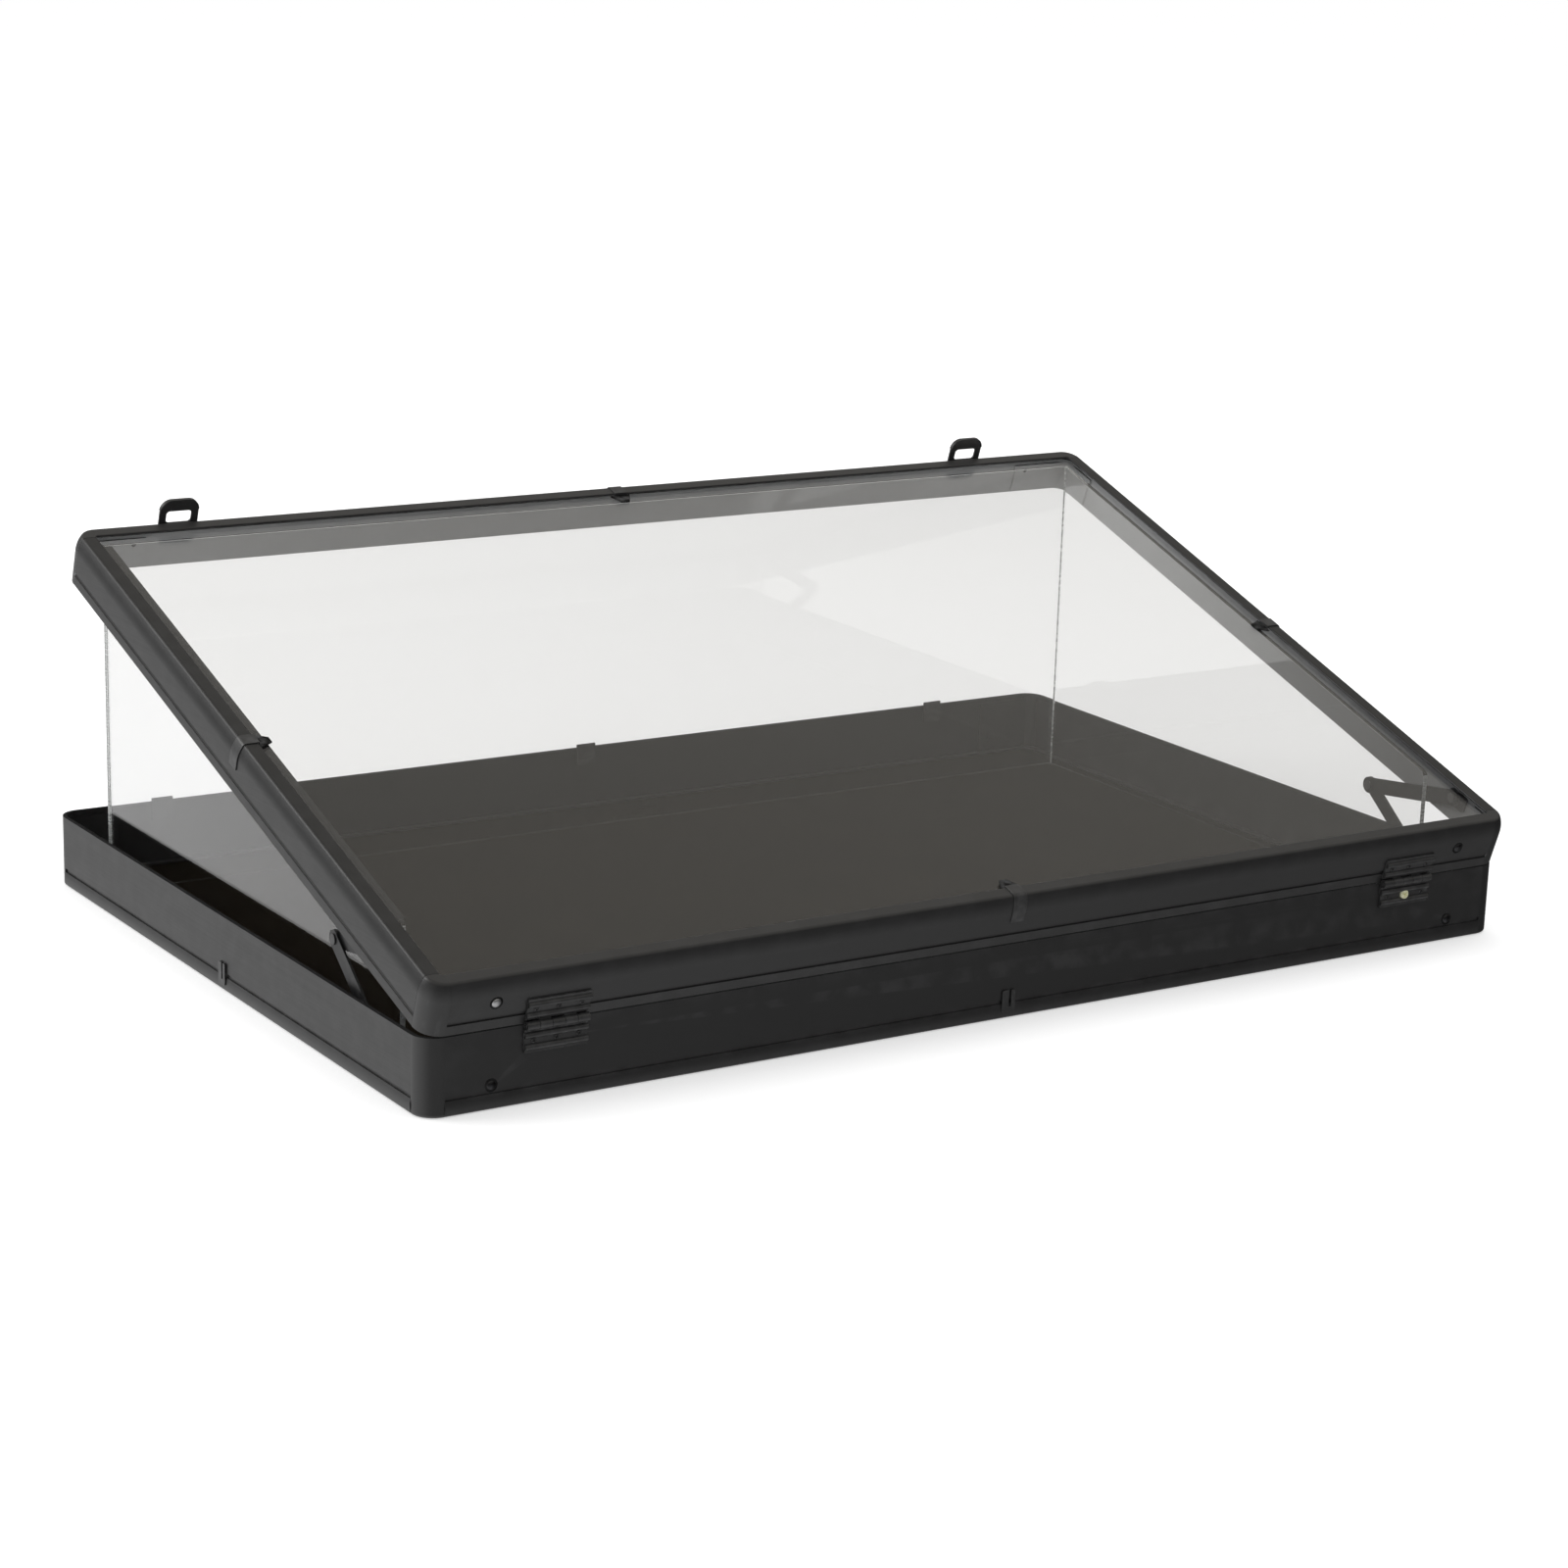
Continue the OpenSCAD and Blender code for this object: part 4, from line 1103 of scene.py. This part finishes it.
class CASE_OT_locks(CaseOperator, bpy.types.Operator):
    """Finishes the two locks and their push buttons"""

    bl_idname = "case.locks"
    bl_label = "Locks"

    def execute(self, context):
        width = self.sizes().hardware_edge
        self.dress("Blacked steel", on_both_sides("lock_plate"), width, 3)
        self.dress("Lock button", on_both_sides("lock_button"), width * 0.8)
        return {"FINISHED"}


class CASE_OT_handle(CaseOperator, bpy.types.Operator):
    """Finishes the carrying handle, its brackets and its ribbed grip"""

    bl_idname = "case.handle"
    bl_label = "Carrying handle"

    def execute(self, context):
        width = self.sizes().hardware_edge
        self.dress("Blacked steel", on_both_sides("handle_bracket"), width, 3)
        self.dress("Stay steel", ["handle_bail"], width)
        self.grip()
        return {"FINISHED"}

    def outline(self, outer, half):
        """(radius, along) points of the grip from end to end, with a row of soft rings."""
        bore = 2.56 * MM
        end = [(bore, half), (outer * 0.66, half), (outer * 0.82, half - 0.6 * MM)]
        end.append((outer * 0.88, half - 1.8 * MM))
        count = self.sizes().grip_rings
        steps = count * 8
        first, last = 4 * MM - half, half - 4 * MM
        ridges = []
        for i in range(steps + 1):
            t = i / steps
            swell = 0.90 + 0.06 * math.sin(math.pi * t)
            ring = 0.04 * (0.5 - 0.5 * math.cos(2 * math.pi * count * t)) ** 0.6
            ridges.append((outer * (swell + ring), first + (last - first) * t))
        return [(r, -x) for r, x in end] + ridges + end[::-1]

    def grip(self):
        """A turned sleeve round the bail's bar."""
        lo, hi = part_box("handle_grip")
        axis_y, axis_z = (lo.y + hi.y) / 2, (lo.z + hi.z) / 2
        turns = 48
        angles = [2 * math.pi * k / turns for k in range(turns)]
        bm = bmesh.new()
        rings = []
        for r, x in self.outline((hi.z - lo.z) / 2, (hi.x - lo.x) / 2):
            ring = [(x, axis_y + r * math.cos(a), axis_z + r * math.sin(a)) for a in angles]
            rings.append([bm.verts.new(place) for place in ring])
        for low, high in zip(rings, rings[1:] + rings[:1]):
            band(bm, low, high)
        bmesh.ops.recalc_face_normals(bm, faces=bm.faces)
        mesh = smoothed(plain_mesh("ribbed_grip", bm))
        finished(link("ribbed_grip", mesh), "handle_grip", finish_named("Grip rubber"))


class CASE_OT_stays(CaseOperator, bpy.types.Operator):
    """Finishes the jointed stays beside the side panels"""

    bl_idname = "case.stays"
    bl_label = "Lid stays"

    def execute(self, context):
        width = self.sizes().hardware_edge
        for side in SIDES:
            stay = side + "_stay_"
            self.dress("Stay steel", [stay + "lower_link", stay + "upper_link"], width)
            pivots = [stay + part for part in ("tray_pivot", "elbow_rivet", "lid_pivot")]
            self.dress("Blacked steel", pivots, width)
        return {"FINISHED"}


class CASE_OT_glazing(CaseOperator, bpy.types.Operator):
    """Finishes the pane and the clear panels, with their rubber strip and channel"""

    bl_idname = "case.glazing"
    bl_label = "Glazing"

    def execute(self, context):
        self.dress("Clear pane", ["pane"], self.sizes().panel_edge)
        for node, across in (("left_panel", 0), ("right_panel", 0), ("back_panel", 1)):
            self.panel(node, across)
        self.channel()
        self.strip()
        return {"FINISHED"}

    def panel(self, node, across):
        """A clear panel with pale upright edges; its broad faces look along the axis across."""
        obj = rounded_copy(node, self.sizes().panel_edge)
        finished(obj, node, finish_named("Clear panel"))

        def upright(face):
            return abs(face.normal[across]) < 0.5 and abs(face.normal.z) < 0.3

        repainted(obj, finish_named("Sawn edge"), upright)

    def channel(self):
        """A black rubber channel pushed over the left panel's top edge."""
        wall, depth, roof = 1.5 * MM, 3.0 * MM, 0.1 * MM
        back = LID.inverted()
        points = [back @ v.co for v in frame["nodes"]["left_panel"].data.vertices]
        top = max(p.z for p in points)
        edge = [p for p in points if p.z > top - roof]
        lo = Vector((min(p.x for p in edge) - wall, min(p.y for p in edge), top - depth))
        hi = Vector((max(p.x for p in edge) + wall, max(p.y for p in edge), top + roof))
        shape = Matrix.Translation((lo + hi) / 2) @ Matrix.Diagonal((*(hi - lo), 1))
        bm = bmesh.new()
        bmesh.ops.create_cube(bm, size=1.0, matrix=shape)
        bmesh.ops.bevel(bm, geom=list(bm.edges), offset=0.4 * MM, segments=3, affect="EDGES")
        tilted_piece("left_panel_channel", bm, "left_panel", "Seal rubber")

    def strip(self):
        """A rubber strip all round, with a soft bulb along its inner edge."""
        lo, hi = islands("glazing_seal", LID)[0]
        path = rounded_loop(hi.x, lo.y, hi.y, self.sizes().strip_corner, lo.z, 12)
        t, w = hi.z - lo.z, self.sizes().strip_width
        under = [(0, 0.2 * t), (-0.2 * t, 0), (-w + 1.4 * t, 0.12 * t)]
        bulb = [(-w + t, 0), (-w + 0.3 * t, 0.08 * t), (-w, 0.4 * t)]
        bulb += [(-w, 0.6 * t), (-w + 0.3 * t, 0.92 * t), (-w + t, t)]
        over = [(-w + 1.4 * t, 0.88 * t), (-0.2 * t, t), (0, 0.8 * t)]
        bm = swept(path, under + bulb + over)
        tilted_piece("rubber_strip", bm, "glazing_seal", "Seal rubber")


class CASE_OT_floor_board(CaseOperator, bpy.types.Operator):
    """Covers the floor board with black flock"""

    bl_idname = "case.floor_board"
    bl_label = "Floor board"

    def execute(self, context):
        self.dress("Black flock", ["floor_board"], 0.6 * MM, 3)
        return {"FINISHED"}


class CASE_OT_clips(CaseOperator, bpy.types.Operator):
    """Finishes the spring clips with their tabs, the keepers and the guide tabs"""

    bl_idname = "case.clips"
    bl_label = "Clips and tabs"

    def execute(self, context):
        width = self.sizes().hardware_edge * 0.8
        self.dress("Blacked steel", ["lid_clips", "tray_clips", "rim_tabs"], width)
        self.tabs()
        return {"FINISHED"}

    def tabs(self):
        """A flat tab on each lid clip, narrowing as it reaches over the pane."""
        outline = ((-4.6, 8.8), (6.2, 3.2), (6.2, -3.2), (-4.6, -8.8))
        gap, thickness, edge = 0.12 * MM, 1.4 * MM, 0.4 * MM
        low = islands("pane", LID)[0][1].z + gap
        middle = LID.inverted() @ LID_MIDDLE
        clips = islands("lid_clips", LID)
        bm = bmesh.new()
        for way in (Vector((1, 0, 0)), Vector((0, 1, 0)), Vector((-1, 0, 0)), Vector((0, -1, 0))):
            own = [c for c in clips if ((c[0] + c[1]) / 2 - middle).normalized().dot(way) < -0.7]
            reach = max(max(lo.dot(way), hi.dot(way)) for lo, hi in own)
            side = Vector((-way.y, way.x, 0))
            centre = (own[0][0] + own[0][1]) / 2
            foot = way * reach + side * centre.dot(side) + Vector((0, 0, low))
            corners = [bm.verts.new(foot + way * u * MM + side * v * MM) for u, v in outline]
            flat = bm.faces.new(corners)
            raised = bmesh.ops.extrude_face_region(bm, geom=[flat])["geom"]
            tops = [v for v in raised if isinstance(v, bmesh.types.BMVert)]
            bmesh.ops.translate(bm, verts=tops, vec=(0, 0, thickness))
        bmesh.ops.recalc_face_normals(bm, faces=bm.faces)
        bmesh.ops.bevel(bm, geom=list(bm.edges), offset=edge, segments=2, affect="EDGES")
        tilted_piece("lid_clip_tabs", bm, "lid_clips", "Washer black")


class CASE_PT_panel(bpy.types.Panel):
    """Lists the case's settings and steps"""

    bl_idname = "CASE_PT_panel"
    bl_label = "Display case"
    bl_space_type = "VIEW_3D"
    bl_region_type = "UI"
    bl_category = "Display case"

    def draw(self, context):
        layout = self.layout
        for group in (context.scene.case_sizes, context.scene.case_looks):
            box = layout.box()
            for key in group.__annotations__:
                box.prop(group, key)
        for step in STEPS:
            layout.operator(step.bl_idname)


STEPS = (
    CASE_OT_stage,
    CASE_OT_rails,
    CASE_OT_corners,
    CASE_OT_rivets,
    CASE_OT_screws,
    CASE_OT_hinges,
    CASE_OT_hasps,
    CASE_OT_locks,
    CASE_OT_handle,
    CASE_OT_stays,
    CASE_OT_glazing,
    CASE_OT_floor_board,
    CASE_OT_clips,
)
CLASSES = (CaseSizes, CaseLooks) + STEPS + (CASE_PT_panel,)


def register():
    """Adds the classes and the scene's settings."""
    for cls in CLASSES:
        bpy.utils.register_class(cls)
    bpy.types.Scene.case_sizes = PointerProperty(type=CaseSizes)
    bpy.types.Scene.case_looks = PointerProperty(type=CaseLooks)


def unregister():
    """Takes away what register added."""
    del bpy.types.Scene.case_looks
    del bpy.types.Scene.case_sizes
    for cls in reversed(CLASSES):
        bpy.utils.unregister_class(cls)


def main():
    """Adds the classes and runs every step in turn."""
    register()
    for step in STEPS:
        group, name = step.bl_idname.split(".")
        getattr(getattr(bpy.ops, group), name)()


if __name__ == "__main__":
    main()
